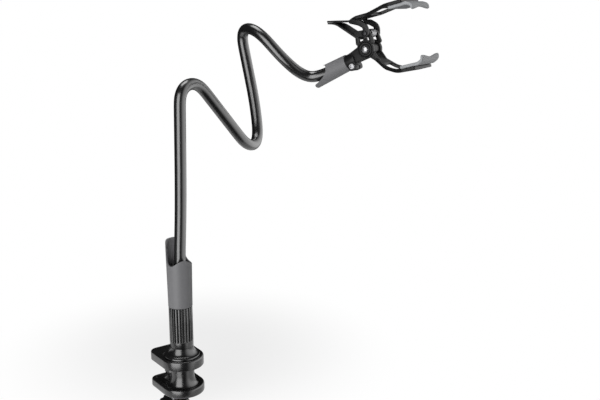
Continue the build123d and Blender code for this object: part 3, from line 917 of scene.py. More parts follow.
class SweepTree(PieceTree):
    """Sweeps a round section along a curve."""

    def __init__(self) -> None:
        """Build the tree once."""
        super().__init__("swept_round", "Curve", {"Radius": "Float", "Sides": "Int", "Step": "Float"})
        even = add_node(
            self.tree,
            "GeometryNodeResampleCurve",
            {"Curve": self.source["Curve"], "Length": self.source["Step"]},
            mode="LENGTH",
        )
        section = add_node(
            self.tree,
            "GeometryNodeCurvePrimitiveCircle",
            {"Resolution": self.source["Sides"], "Radius": self.source["Radius"]},
        )
        sweep = add_node(
            self.tree,
            "GeometryNodeCurveToMesh",
            {"Curve": even.outputs["Curve"], "Profile Curve": section.outputs["Curve"], "Fill Caps": True},
        )
        smooth = add_node(self.tree, "GeometryNodeSetShadeSmooth", {"Geometry": sweep.outputs["Mesh"]})
        self.end(smooth.outputs["Geometry"])

    def sweep(
        self,
        name: str,
        route: np.ndarray,
        radius: float,
        finish: bpy.types.Material,
        sides: int = 32,
        step: float = 2.0,
    ) -> bpy.types.Object:
        """Sweep a round section along a route.

        Args:
            name: The piece's name.
            route: Points of the centre line, in the model's millimetres.
            radius: The section's radius in millimetres.
            finish: Its material.
            sides: Sides of the section.
            step: Spacing of the rings in millimetres.

        Returns:
            A plain mesh object at the origin.
        """
        line = curve_object(name, "POLY", [route * MM])
        mesh = self.run(line, Radius=radius * MM, Sides=sides, Step=step * MM, Finish=finish)
        return finish_mesh(name, mesh, 60.0)


class BarTree(PieceTree):
    """Repeats a bar along a straight row."""

    def __init__(self) -> None:
        """Build the tree once."""
        super().__init__("row_of_bars", "Bar", {"Count": "Int", "Start": "Vector", "Offset": "Vector"})
        row = add_node(
            self.tree,
            "GeometryNodeMeshLine",
            {
                "Count": self.source["Count"],
                "Start Location": self.source["Start"],
                "Offset": self.source["Offset"],
            },
            mode="OFFSET",
        )
        placed = add_node(
            self.tree,
            "GeometryNodeInstanceOnPoints",
            {"Points": row.outputs["Mesh"], "Instance": self.source["Bar"]},
        )
        self.end(placed.outputs["Instances"])

    def repeat(
        self,
        bar: bpy.types.Object,
        count: int,
        start: Vector,
        offset: Vector,
        finish: bpy.types.Material,
    ) -> bpy.types.Object:
        """Repeat a bar drawn round the origin.

        Args:
            bar: The object to repeat, which is used up.
            count: How many.
            start: Place of the first, in metres.
            offset: Step from one to the next, in metres.
            finish: Their material.

        Returns:
            All bars as one plain mesh object.
        """
        name = bar.name
        mesh = self.run(bar, Count=count, Start=tuple(start), Offset=tuple(offset), Finish=finish)
        return finish_mesh(name, mesh)


# The workshop that dresses pieces


class Workshop:
    """Holds the frame, the finishes and the node trees, and dresses finished pieces."""

    def __init__(self, frame: dict) -> None:
        """Build the shared materials and trees.

        Args:
            frame: What loading the frame gave.
        """
        self.frame = frame
        groups = ShaderGroups()
        self.finish = {slot: finish.build(groups) for slot, finish in FINISHES.items()}
        self.dull = DULL_PLASTIC.build(groups)
        # Black plastic with shade painted into the grip's flutes.
        self.ribbed = GROOVE_SHADED_PLASTIC.build(groups)
        self.sweeps = SweepTree()
        self.bars = BarTree()

    def coat(self, piece: bpy.types.Object, slot: Slot) -> None:
        """Give a piece one finish.

        Args:
            piece: The piece.
            slot: Its material slot.
        """
        piece.data.materials.clear()
        piece.data.materials.append(self.finish[slot])

    def dress(self, piece: bpy.types.Object, slot: Slot, body: Body, *replaced: str) -> bpy.types.Object:
        """Finish a piece, set it on its body and let it stand for its nodes.

        Args:
            piece: The finished object.
            slot: Its material slot.
            body: The body it rides on.
            replaced: The nodes that it stands for.

        Returns:
            The piece.
        """
        self.coat(piece, slot)
        if slot is Slot.PLASTIC and body in DULL_BODIES:
            piece.data.materials[0] = self.dull
        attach(piece, body.value)
        if replaced:
            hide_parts(*replaced)
        LOG.info("%s rides on %s in %s", piece.name, body.value, slot.value)
        return piece

    def dress_node(self, node: str, slot: Slot) -> None:
        """Finish a node whose own shape stays."""
        self.coat(self.frame["nodes"][node], slot)
        LOG.info("%s keeps its own shape in %s", node, slot.value)


# Screw clamp


@dataclass
class ScrewClamp:
    """The fixed jaws with their pads, and the screw, foot and knob below."""

    shop: Workshop
    post_setback: float = 25.0
    end_radius: float = 26.5
    reach: float = 15.0
    corner: float = 9.0
    post_radius: float = 14.5
    upper_under: float = 1.0
    upper_top: float = 13.0
    lower_top: float = -24.0
    lower_under: float = -35.0
    edge_round: float = 2.5
    flare_radius: float = 22.0
    flare_top: float = 25.0
    flare_lip: float = 2.0
    groove_width: float = 1.6
    groove_depth: float = 1.2
    column_flare_radius: float = 20.5
    column_flare_height: float = 13.0
    rim_width: float = 3.0
    rim_height: float = 1.2
    pocket_radius: float = 12.5
    pocket_floor: float = -30.0
    boss_bore: float = 6.6
    boss_radius: float = 8.5
    boss_end: float = -43.0
    screw_radius: float = 5.0
    thread_pitch: float = 3.0
    thread_radius: float = 0.75
    thread_depth: float = 0.7
    stem_radius: float = 3.0
    foot_bore: float = 4.0
    foot_radius: float = 11.0
    foot_under: float = -18.0
    foot_top: float = -13.0
    foot_pad_top: float = -11.0
    knob_radius: float = 19.0
    knob_under: float = -72.0
    knob_top: float = -56.0
    knob_hub: float = 9.0
    knob_round: float = 2.0
    knob_lobes: int = 10
    pad_width: float = 42.0
    pad_length: float = 20.0
    pad_corner: float = 5.0
    pad_top: float = 2.0
    rib_height: float = 0.5
    rib_count: int = 8
    segments: int = 256

    @property
    def post(self) -> Axes:
        """The post's upright axes."""
        return Axes((0.0, -self.post_setback, 0.0))

    def outline(self, shrink: float = 0.0) -> np.ndarray:
        """The jaws' outline about the post, one point for each direction.

        Args:
            shrink: How far to move it inwards.

        Returns:
            Points round the post, starting at +x.
        """
        radius = self.end_radius - shrink
        far = self.post_setback + self.reach - shrink
        corner = max(self.corner - shrink, 1.0)
        turn = np.linspace(0, 2 * math.pi, self.segments, endpoint=False)
        aim = np.stack([np.cos(turn), np.sin(turn)], 1)
        reach = np.full(self.segments, radius)
        for index, (x, y) in enumerate(aim):
            if y <= 0:
                continue
            side = radius / abs(x) if abs(x) > 1e-9 else 1e9
            end = far / y
            reach[index] = min(side, end)
            middle = np.array([math.copysign(radius - corner, x), far - corner])
            touch = aim[index] * reach[index]
            if abs(touch[0]) > radius - corner and touch[1] > far - corner:
                along = float(aim[index] @ middle)
                reach[index] = along + math.sqrt(max(along**2 - float(middle @ middle) + corner**2, 0.0))
        return aim * reach[:, None]

    def flare(self, foot: float, low: float, high: float, steps: int = 14) -> list[np.ndarray]:
        """Loops of a hollow flare from a wide foot up to the post's radius.

        Args:
            foot: Radius at the foot.
            low: Height of the foot.
            high: Height where it meets the post.
            steps: Steps in the curve.

        Returns:
            The loops, from the foot up.
        """
        loops = []
        for across, along in quarter(steps):
            radius = self.post_radius + (foot - self.post_radius) * across
            loops.append(at_height(circle(radius, self.segments), low + (high - low) * along))
        return loops

    def rounded_side(self, low: float, high: float, low_round: float) -> list[np.ndarray]:
        """Loops up the side of a jaw, rounded at its lower and upper edges.

        Args:
            low: Height of the jaw's underside.
            high: Height of its upper side.
            low_round: Rounding of the lower edge.

        Returns:
            The loops, from below.
        """
        loops = []
        for across, along in quarter(5):
            loops.append(at_height(self.outline(low_round * across), low + low_round * along))
        for along, across in quarter(6):
            edge = self.outline(self.edge_round * across)
            loops.append(at_height(edge, high - self.edge_round * along))
        return loops

    def build_upper_jaw(self) -> None:
        """The upper jaw with its grooved, flared foot for the post."""
        loops = self.rounded_side(self.upper_under, self.upper_top, 0.8)
        inner, outer = self.flare_radius, self.flare_radius + self.groove_width
        floor, lip = self.upper_top - self.groove_depth, self.upper_top + self.flare_lip
        for radius, height in (
            (outer + 0.4, self.upper_top),
            (outer, self.upper_top - 0.3),
            (outer, floor),
            (inner, floor),
            (inner, lip - 0.5),
            (inner - 0.2, lip - 0.1),
        ):
            loops.append(at_height(circle(radius, self.segments), height))
        loops.extend(self.flare(inner - 0.5, lip, self.flare_top))
        piece = mesh_object("upper_jaw_shell", Shell().loft(loops), self.post, 50.0)
        self.shop.dress(piece, Slot.PLASTIC, Body.BASE, "upper_jaw")

    def build_lower_jaw(self) -> None:
        """The lower jaw: rimmed plate, flared column, foot pocket and screw boss."""
        loops = self.rounded_side(self.lower_under, self.lower_top, self.edge_round)
        rim = self.edge_round + self.rim_width
        floor = self.lower_top - self.rim_height
        loops.append(at_height(self.outline(rim - 0.4), self.lower_top))
        loops.append(at_height(self.outline(rim), self.lower_top - 0.3))
        loops.append(at_height(self.outline(rim + 0.2), floor))
        loops.extend(self.flare(self.column_flare_radius - 0.6, floor, floor + self.column_flare_height))
        loops.append(at_height(circle(self.post_radius, self.segments), self.upper_under))
        piece = mesh_object("lower_jaw_shell", Shell().loft(loops), self.post, 50.0)
        pocket = Shell().lathe(
            np.array(
                [
                    (self.pocket_radius - 0.8, self.pocket_floor),
                    (self.pocket_radius, self.pocket_floor + 0.8),
                    (self.pocket_radius, 0.0),
                ]
            ),
            72,
        )
        piece = cut_away(piece, mesh_object("pocket", pocket, CENTRE))
        self.shop.dress(piece, Slot.PLASTIC, Body.BASE, "lower_jaw")
        boss_profile = rounded_path(
            [
                (self.boss_bore, self.boss_end),
                (self.boss_radius, self.boss_end),
                (self.boss_radius, self.lower_under - 1.5),
                (self.boss_radius + 2.0, self.lower_under + 1.0),
                (self.boss_bore, self.lower_under + 1.0),
            ],
            [0, 1.0, 2.0, 0, 0],
            closed=True,
        )
        boss = mesh_object("screw_boss", Shell().lathe(boss_profile, 72, closed=True), CENTRE)
        self.shop.dress(boss, Slot.PLASTIC, Body.BASE)

    def build_jaw_pad(self) -> None:
        """The ribbed rubber pad under the upper jaw."""
        middle = self.reach - self.rim_width - self.pad_length / 2
        half_width, half_length = self.pad_width / 2, self.pad_length / 2
        outline = rounded_path(
            [
                (-half_width, middle - half_length),
                (half_width, middle - half_length),
                (half_width, middle + half_length),
                (-half_width, middle + half_length),
            ],
            [self.pad_corner] * 4,
            closed=True,
        )
        body = Shell().prism(outline, self.rib_height - 0.1, self.pad_top, 0.3, 0.2)
        pad = mesh_object("jaw_pad_rubber", body, CENTRE)
        self.shop.dress(pad, Slot.RUBBER, Body.BASE, "jaw_pad")
        step = (self.pad_length - 3.0) / (self.rib_count - 1)
        bar_outline = belt([(-half_width + 3.5, 0, 0.7), (half_width - 3.5, 0, 0.7)], 32)
        bar = Shell().prism(bar_outline, 0.0, self.rib_height, 0.25, 0.0)
        ribs = self.shop.bars.repeat(
            mesh_object("jaw_pad_ribs", bar, CENTRE),
            self.rib_count,
            Vector((0, (middle - half_length + 1.5) * MM, 0)),
            Vector((0, step * MM, 0)),
            self.shop.finish[Slot.RUBBER],
        )
        self.shop.dress(ribs, Slot.RUBBER, Body.BASE)

    def build_screw(self) -> None:
        """The threaded clamp screw with its foot and foot pad."""
        stem, core = self.stem_radius, self.screw_radius - self.thread_depth
        profile = np.array(
            [
                (stem, self.knob_under + 3.2),
                (core, self.knob_under + 3.2),
                (core, self.foot_under - 1.2),
                (stem, self.foot_under - 0.1),
                (stem, self.foot_under + 3.3),
            ]
        )
        piece = mesh_object("clamp_screw_core", Shell().lathe(profile, 64), CENTRE)
        self.shop.dress(piece, Slot.STEEL, Body.SCREW, "clamp_screw")
        turns = (self.foot_under - 2.5 - self.knob_top) / self.thread_pitch
        angle = np.linspace(0, 2 * math.pi * turns, int(turns * 40))
        reach = self.screw_radius - self.thread_radius
        rise = self.knob_top + self.thread_pitch * angle / (2 * math.pi)
        helix = np.stack([reach * np.cos(angle), reach * np.sin(angle), rise], 1)
        thread = self.shop.sweeps.sweep(
            "clamp_screw_thread",
            helix,
            self.thread_radius,
            self.shop.finish[Slot.STEEL],
            sides=8,
            step=0.8,
        )
        self.shop.dress(thread, Slot.STEEL, Body.SCREW)
        foot = rounded_path(
            [
                (self.foot_bore, self.foot_under),
                (self.foot_radius - 1.2, self.foot_under),
                (self.foot_radius, self.foot_under + 1.2),
                (self.foot_radius, self.foot_top),
                (self.foot_bore, self.foot_top),
            ],
            [0, 0.5, 0.5, 0.4, 0],
        )
        piece = mesh_object("pressure_foot_disc", Shell().lathe(foot, 72), CENTRE)
        self.shop.dress(piece, Slot.PLASTIC, Body.FOOT, "pressure_foot")
        pad = rounded_path(
            [
                (self.foot_bore, self.foot_top),
                (self.foot_radius, self.foot_top),
                (self.foot_radius, self.foot_pad_top),
                (self.foot_radius - 2.5, self.foot_pad_top),
                (self.foot_radius - 3.2, self.foot_pad_top - 0.4),
                (self.foot_radius - 5.5, self.foot_pad_top - 0.4),
                (self.foot_radius - 6.2, self.foot_pad_top),
                (2.0, self.foot_pad_top),
            ],
            [0, 0.2, 0.6, 0.2, 0.2, 0.2, 0.2, 0],
        )
        piece = mesh_object("pressure_pad_rubber", Shell().lathe(pad, 72), CENTRE)
        self.shop.dress(piece, Slot.RUBBER, Body.FOOT, "pressure_pad")

    def build_knob(self) -> None:
        """The lobed knob, dished underneath."""
        turn = np.linspace(0, 2 * math.pi, self.segments, endpoint=False)
        wave = np.cos(self.knob_lobes * turn)
        radius = self.knob_radius - 1.15 * (1 - wave) - 0.35 * (1 - wave**2)
        outline = np.stack([radius * np.cos(turn), radius * np.sin(turn)], 1)
        loops = []
        for drop, rise in ((9.0, 1.4), (6.0, 1.0), (4.6, 0.0)):
            dish = circle(self.knob_radius - drop, self.segments)
            loops.append(at_height(dish, self.knob_under + rise))
        for across, along in quarter(5):
            edge = outline * (1 - 0.1 * across)
            loops.append(at_height(edge, self.knob_under + self.knob_round * along))
        for along, across in quarter(5):
            edge = outline * (1 - 0.12 * across)
            loops.append(at_height(edge, self.knob_top - 0.6 - self.knob_round * along))
        for share, drop in ((1.12, 0.6), (1.0, 0.4), (0.96, 0.0)):
            hub = circle(self.knob_hub * share, self.segments)
            loops.append(at_height(hub, self.knob_top - drop))
        piece = mesh_object("clamp_knob_lobed", Shell().loft(loops), CENTRE, 50.0)
        self.shop.dress(piece, Slot.PLASTIC, Body.SCREW, "clamp_knob")

    def build(self) -> None:
        """Build the whole clamp."""
        self.build_upper_jaw()
        self.build_lower_jaw()
        self.build_jaw_pad()
        self.build_screw()
        self.build_knob()
        self.shop.dress_node("spine_bolt", Slot.STEEL)
        self.shop.dress_node("grip_insert", Slot.BRASS)
        self.shop.dress_node("screw_nut", Slot.BRASS)


# Sleeves and post


@dataclass
class ScarfSleeve:
    """A tapering tube with a slanted, hollowed end cut.

    Places on the cut are shares of the lip's radius; the knees' second ones are shares of its rise.
    """

    length: float
    low: float
    short_lip: float
    lip_start: float
    foot_radius: float
    lip_radius: float
    wall: float
    inner_foot: float
    knees: tuple[Flat, Flat] = ((0.2, 0.0), (0.5, 0.45))
    lip_turn: float = 0.0
    rise_start: float = -0.36
    rise_end: Flat = (0.64, 0.2)
    tip: tuple[Flat, ...] = ((0.70, 0.10), (0.78, 0.045), (0.88, 0.01))
    segments: int = 224
    rows: int = 40

    def cut_height(self, turn: np.ndarray, reach: float) -> np.ndarray:
        """Height of the end cut round the tube.

        Args:
            turn: Directions round the tube, from its long side.
            reach: Radius of the wall's face that is cut.

        Returns:
            The height in each direction.
        """
        radius = self.lip_radius
        share = np.linspace(0, 1, 60)[:, None]
        bend = np.array(
            [
                (radius * self.rise_start, self.low),
                *((radius * x, self.low + (self.length - self.low) * y) for x, y in self.knees),
                (radius * self.rise_end[0], self.length - radius * self.rise_end[1]),
            ]
        )
        rise = (
            (1 - share) ** 3 * bend[0]
            + 3 * (1 - share) ** 2 * share * bend[1]
            + 3 * (1 - share) * share**2 * bend[2]
            + share**3 * bend[3]
        )
        tip = [(radius * x, self.length - radius * y) for x, y in self.tip]
        line = np.vstack([rise, tip, [(radius + 1, self.length)]])
        tongue = np.interp(reach * np.cos(turn), line[:, 0], line[:, 1])
        across = -np.cos(turn + math.radians(self.lip_turn)) * reach / radius
        lip = np.clip((across - self.lip_start) / (1 - self.lip_start), 0.0, 1.0)
        return np.maximum(tongue, self.low + self.short_lip * lip**2)

    def shell(self) -> Shell:
        """The tube about z, with its long side towards +x.

        Returns:
            The closed shell.
        """
        turn = np.linspace(0, 2 * math.pi, self.segments, endpoint=False)
        aim = np.stack([np.cos(turn), np.sin(turn)], 1)
        taper = (self.lip_radius - self.foot_radius) / self.length

        def loop_at(height: np.ndarray, offset: float) -> np.ndarray:
            """A loop round the tapering tube, at a height for each direction."""
            radius = self.foot_radius + taper * height - offset
            return np.column_stack([aim * radius[:, None], height])

        outer_top = self.cut_height(turn, self.lip_radius)
        inner_top = self.cut_height(turn, self.lip_radius - self.wall)
        base = np.zeros(self.segments)
        loops = [loop_at(base, 0.5), loop_at(base + 0.12, 0.14)]
        for row in range(self.rows + 1):
            share = row / self.rows
            loops.append(loop_at(0.5 + (outer_top - 0.5) * share, 0.0))
        for row in range(self.rows + 1):
            share = 1 - row / self.rows
            loops.append(loop_at(self.inner_foot + (inner_top - self.inner_foot) * share, self.wall))
        return Shell().loft(loops, closed=True)

    def build(self, name: str, axes: Axes, rim: float) -> bpy.types.Object:
        """Make the sleeve with a rounded rim.

        Args:
            name: The piece's name.
            axes: Its frame, with z along the tube and x towards its long side.
            rim: Width of the rounding at the cut.

        Returns:
            The object, with its rounding applied.
        """
        piece = mesh_object(name, self.shell(), axes)
        bevel = piece.modifiers.new("rim", "BEVEL")
        bevel.width = rim * MM
        bevel.segments = 3
        bevel.limit_method = "ANGLE"
        bevel.angle_limit = math.radians(45)
        return finish_mesh(name, plain_mesh(piece), 50.0)


@dataclass
class Post:
    """The ribbed grip on the clamp and the sleeve over the neck's foot."""

    shop: Workshop
    setback: float = 25.0
    radius: float = 14.5
    foot: float = 25.0
    top: float = 77.0
    flute_count: int = 24
    flute_radius: float = 1.25
    flute_sink: float = 0.35
    flute_start: float = 34.0
    spigot_radius: float = 12.3
    spigot_height: float = 14.0
    tongue_turn: float = 95.0
    samples: int = 18

    def fluted_loop(self, height: float, shrink: float = 0.0) -> np.ndarray:
        """The grip's outline at a height.

        Args:
            height: Height in the model.
            shrink: How far the whole outline is moved inwards.

        Returns:
            The outline's points.
        """
        count = self.flute_count * self.samples
        turn = np.linspace(0, 2 * math.pi, count, endpoint=False)
        pitch = 2 * math.pi / self.flute_count
        off = (turn + pitch / 2) % pitch - pitch / 2
        below = max(self.flute_start - height, 0.0)
        size = math.sqrt(max(self.flute_radius**2 - below**2, 0.0))
        centre = self.radius + self.flute_sink
        side = centre * np.sin(off)
        depth = np.where(np.abs(side) < size, np.sqrt(np.maximum(size**2 - side**2, 0.0)), 0.0)
        hollow = np.where(depth > 0, centre * np.cos(off) - depth, self.radius)
        blend = 0.16
        radius = -blend * np.log(np.exp(-hollow / blend) + np.exp(-self.radius / blend))
        radius = np.minimum(radius + blend * math.log(2), self.radius) - shrink
        return np.column_stack([radius * np.cos(turn), radius * np.sin(turn), np.full(count, height)])

    def build_grip(self) -> None:
        """The fluted grip with round-ended flutes."""
        loops = [self.fluted_loop(self.foot, 0.45), self.fluted_loop(self.foot + 0.15, 0.12)]
        loops.append(self.fluted_loop(self.foot + 0.5))
        first = self.flute_start - self.flute_radius
        for share in (0.0, 0.05, 0.15, 0.3, 0.5, 0.75, 1.0):
            loops.append(self.fluted_loop(first + share * self.flute_radius))
        loops.append(self.fluted_loop((self.flute_start + self.top) / 2))
        loops.append(self.fluted_loop(self.top - 0.5))
        loops.append(self.fluted_loop(self.top - 0.1, 0.3))
        spigot = circle(self.spigot_radius, self.flute_count * self.samples)
        loops.append(at_height(spigot, self.top))
        loops.append(at_height(spigot, self.top + self.spigot_height))
        axes = Axes((0.0, -self.setback, 0.0))
        piece = mesh_object("ribbed_grip_fluted", Shell().loft(loops), axes, 60.0)
        self.mark_painted_groove_shade(piece.data)
        self.shop.dress(piece, Slot.PLASTIC, Body.BASE, "ribbed_grip")
        # The grip's finish paints shade into its flutes by their depth.
        piece.data.materials[0] = self.shop.ribbed

    def mark_painted_groove_shade(self, mesh: bpy.types.Mesh) -> None:
        """Note on each point how deep it lies in a flute, from 0 to 1.

        Args:
            mesh: The grip's mesh.
        """
        places = np.array([vertex.co for vertex in mesh.vertices]) / MM
        reach = np.hypot(places[:, 0], places[:, 1] + self.setback)
        depth = np.clip((self.radius - reach) / self.flute_radius * 2 - 0.2, 0.0, 1.0)
        # This depth drives the shade painted into the flutes by the grip's finish.
        mesh.attributes.new(PAINTED_SHADE_DEPTH, "FLOAT", "POINT").data.foreach_set("value", depth)

    def build_sleeve(self) -> None:
        """The grey sleeve with its tall tongue behind the neck."""
        turn = math.radians(self.tongue_turn)
        axes = Axes((0.0, -self.setback, self.top + 0.1), x=(math.cos(turn), math.sin(turn), 0.0))
        sleeve = ScarfSleeve(
            length=83.5,
            low=53.5,
            short_lip=7.7,
            lip_start=0.42,
            foot_radius=14.75,
            lip_radius=15.9,
            wall=2.2,
            inner_foot=0.0,
            knees=((0.5, 0.0), (0.5, 0.25)),
            lip_turn=13.0,
        )
        piece = sleeve.build("base_sleeve_tube", axes, 0.7)
        self.shop.dress(piece, Slot.SLEEVE, Body.BASE, "base_sleeve")

    def build(self) -> None:
        """Build the post."""
        self.build_grip()
        self.build_sleeve()


# Gooseneck


@dataclass
class Gooseneck:
    """The sheathed neck, in three pieces that bend over its three elbows."""

    shop: Workshop
    radius: float = 7.0
    route: tuple[Point, ...] = (
        (0.0, -25.0, 40.6),
        (0.0, -25.0, 122.0),
        (3.9, -27.2, 202.0),
        (6.3, -27.5, 309.0),
        (7.0, -27.6, 342.0),
        (36.4, -15.4, 348.0),
        (57.4, -14.7, 322.6),
        (84.4, -13.9, 289.9),
        (108.3, -13.1, 261.0),
        (139.1, 8.3, 261.0),
        (145.3, 25.7, 308.0),
        (141.4, 38.7, 362.0),
        (138.3, 48.9, 404.5),
        (134.5, 5.4, 407.0),
        (157.5, -22.2, 368.0),
        (180.7, -30.1, 348.0),
        (196.0, -41.1, 344.2),
        (209.84, -73.7, 361.47),
    )
    descent_middle: Point = (70.9, -14.3, 306.2)
    rise_middle: Point = (143.3, 32.2, 335.0)
    first_elbow: Point = (21.7, -21.5, 345.0)
    second_elbow: Point = (123.7, -2.4, 261.0)
    third_elbow: Point = (136.45, 27.15, 405.75)
    crest_way: Point = (0.0, -0.914, 0.405)
    bend_length: float = 9.0
    soften: float = 5.0
    sides: int = 40
    ring_step: float = 1.6

    def line(self) -> np.ndarray:
        """The neck's smooth centre line, read from its spline, in millimetres.

        Returns:
            Its points, one per row.
        """
        line = curve_object("neck", "NURBS", [np.array(self.route)])
        line.data.resolution_u = 24
        line.data.splines[0].order_u = 3
        line.data.splines[0].use_endpoint_u = True
        mesh = plain_mesh(line)
        points = np.array([vertex.co for vertex in mesh.vertices])
        bpy.data.meshes.remove(mesh)
        return self.evened(points)

    def evened(self, points: np.ndarray) -> np.ndarray:
        """A line in even steps of about 1 mm whose bends run in softly, with its ends kept.

        Args:
            points: Points of the line.

        Returns:
            The new points.
        """
        gone = lengths_along(points)
        places = np.linspace(0, gone[-1], int(gone[-1]))
        path = np.stack([np.interp(places, gone, points[:, axis]) for axis in range(3)], 1)
        reach = int(self.soften * 3)
        weight = np.exp(-0.5 * (np.arange(-reach, reach + 1) / self.soften) ** 2)
        before = 2 * path[0] - path[reach:0:-1]
        after = 2 * path[-1] - path[-2 : -reach - 2 : -1]
        longer = np.vstack([before, path, after])
        columns = [np.convolve(longer[:, axis], weight / weight.sum(), "valid") for axis in range(3)]
        return np.stack(columns, 1)

    def build(self) -> None:
        """Build the three pieces, which meet half way between the elbows."""
        line = self.line()

        def nearest(place: Point) -> int:
            """The point of the line nearest to a place."""
            return int(np.argmin(np.linalg.norm(line - np.array(place), axis=1)))

        first, second = nearest(self.descent_middle), nearest(self.rise_middle)
        across = Vector((1.0, 0.0, 0.0))
        foot = Vector(self.route[9]) - Vector(self.route[8])
        crest = Vector(self.crest_way)
        for name, part, bodies, elbow, way, nodes in (
            (
                "neck_lower_bend",
                line[: first + 1],
                (Body.BASE, Body.DESCENT),
                self.first_elbow,
                across,
                ("neck_first_rise",),
            ),
            (
                "neck_middle_bend",
                line[first : second + 1],
                (Body.DESCENT, Body.RISE),
                self.second_elbow,
                foot,
                ("neck_descent", "neck_second_rise"),
            ),
            (
                "neck_upper_bend",
                line[second:],
                (Body.RISE, Body.REACH),
                self.third_elbow,
                crest,
                ("neck_reach",),
            ),
        ):
            piece = self.shop.sweeps.sweep(
                name, part, self.radius, self.shop.finish[Slot.SHEATH], self.sides, self.ring_step
            )
            self.shop.coat(piece, Slot.SHEATH)
            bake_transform(piece)
            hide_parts(*nodes)
            LOG.info("%s bends from %s to %s", name, bodies[0].value, bodies[1].value)


# Head: sleeve, knuckle and clip


@dataclass(frozen=True)
class HeadAxes:
    """Directions and places of the head, worked out as in the solids."""

    turn: float = -67.0
    sleeve_rise: float = 26.0
    clip_rise: float = 14.4
    entry: Point = (196.0, -41.1, 344.2)
    run: float = 49.6
    hub_reach: float = 33.6
    hub_rise: float = 2.9

    def facing(self, rise: float) -> Vector:
        """The way the head faces, raised by an angle in degrees.

        Args:
            rise: The angle.

        Returns:
            A unit vector.
        """
        turn, lift = math.radians(self.turn), math.radians(rise)
        level = math.cos(lift)
        return Vector((math.cos(turn) * level, math.sin(turn) * level, math.sin(lift)))

    @property
    def side(self) -> Vector:
        """The tilt axis, level and square to the way the head faces."""
        turn = math.radians(self.turn)
        return Vector((-math.sin(turn), math.cos(turn), 0.0))

    @property
    def sleeve_end(self) -> Vector:
        """The sleeve's joint end, on its axis."""
        return Vector(self.entry) + self.facing(self.sleeve_rise) * self.run

    @property
    def sleeve(self) -> Axes:
        """Axes of the sleeve: z back along the neck, x towards its long side below."""
        return Axes(
            tuple(self.sleeve_end),
            x=tuple(-self.facing(self.sleeve_rise + 90)),
            z=tuple(-self.facing(self.sleeve_rise)),
        )

    @property
    def stub(self) -> Axes:
        """Axes of the swivel stub: z out of the sleeve."""
        return Axes(tuple(self.sleeve_end), x=tuple(self.side), z=tuple(self.facing(self.sleeve_rise)))

    @property
    def knuckle(self) -> Axes:
        """Axes of the knuckle: x out of the sleeve, z towards the near side."""
        return Axes(tuple(self.sleeve_end), x=tuple(self.facing(self.sleeve_rise)), z=tuple(-self.side))

    @property
    def clip(self) -> Axes:
        """Axes of the clip about its hub: x towards the gripped edge, z towards the near side.

        Returns:
            The axes.
        """
        up = self.facing(self.sleeve_rise + 90)
        hub = self.sleeve_end + self.facing(self.sleeve_rise) * self.hub_reach + up * self.hub_rise
        return Axes(tuple(hub), x=tuple(self.facing(self.clip_rise)), z=tuple(-self.side))


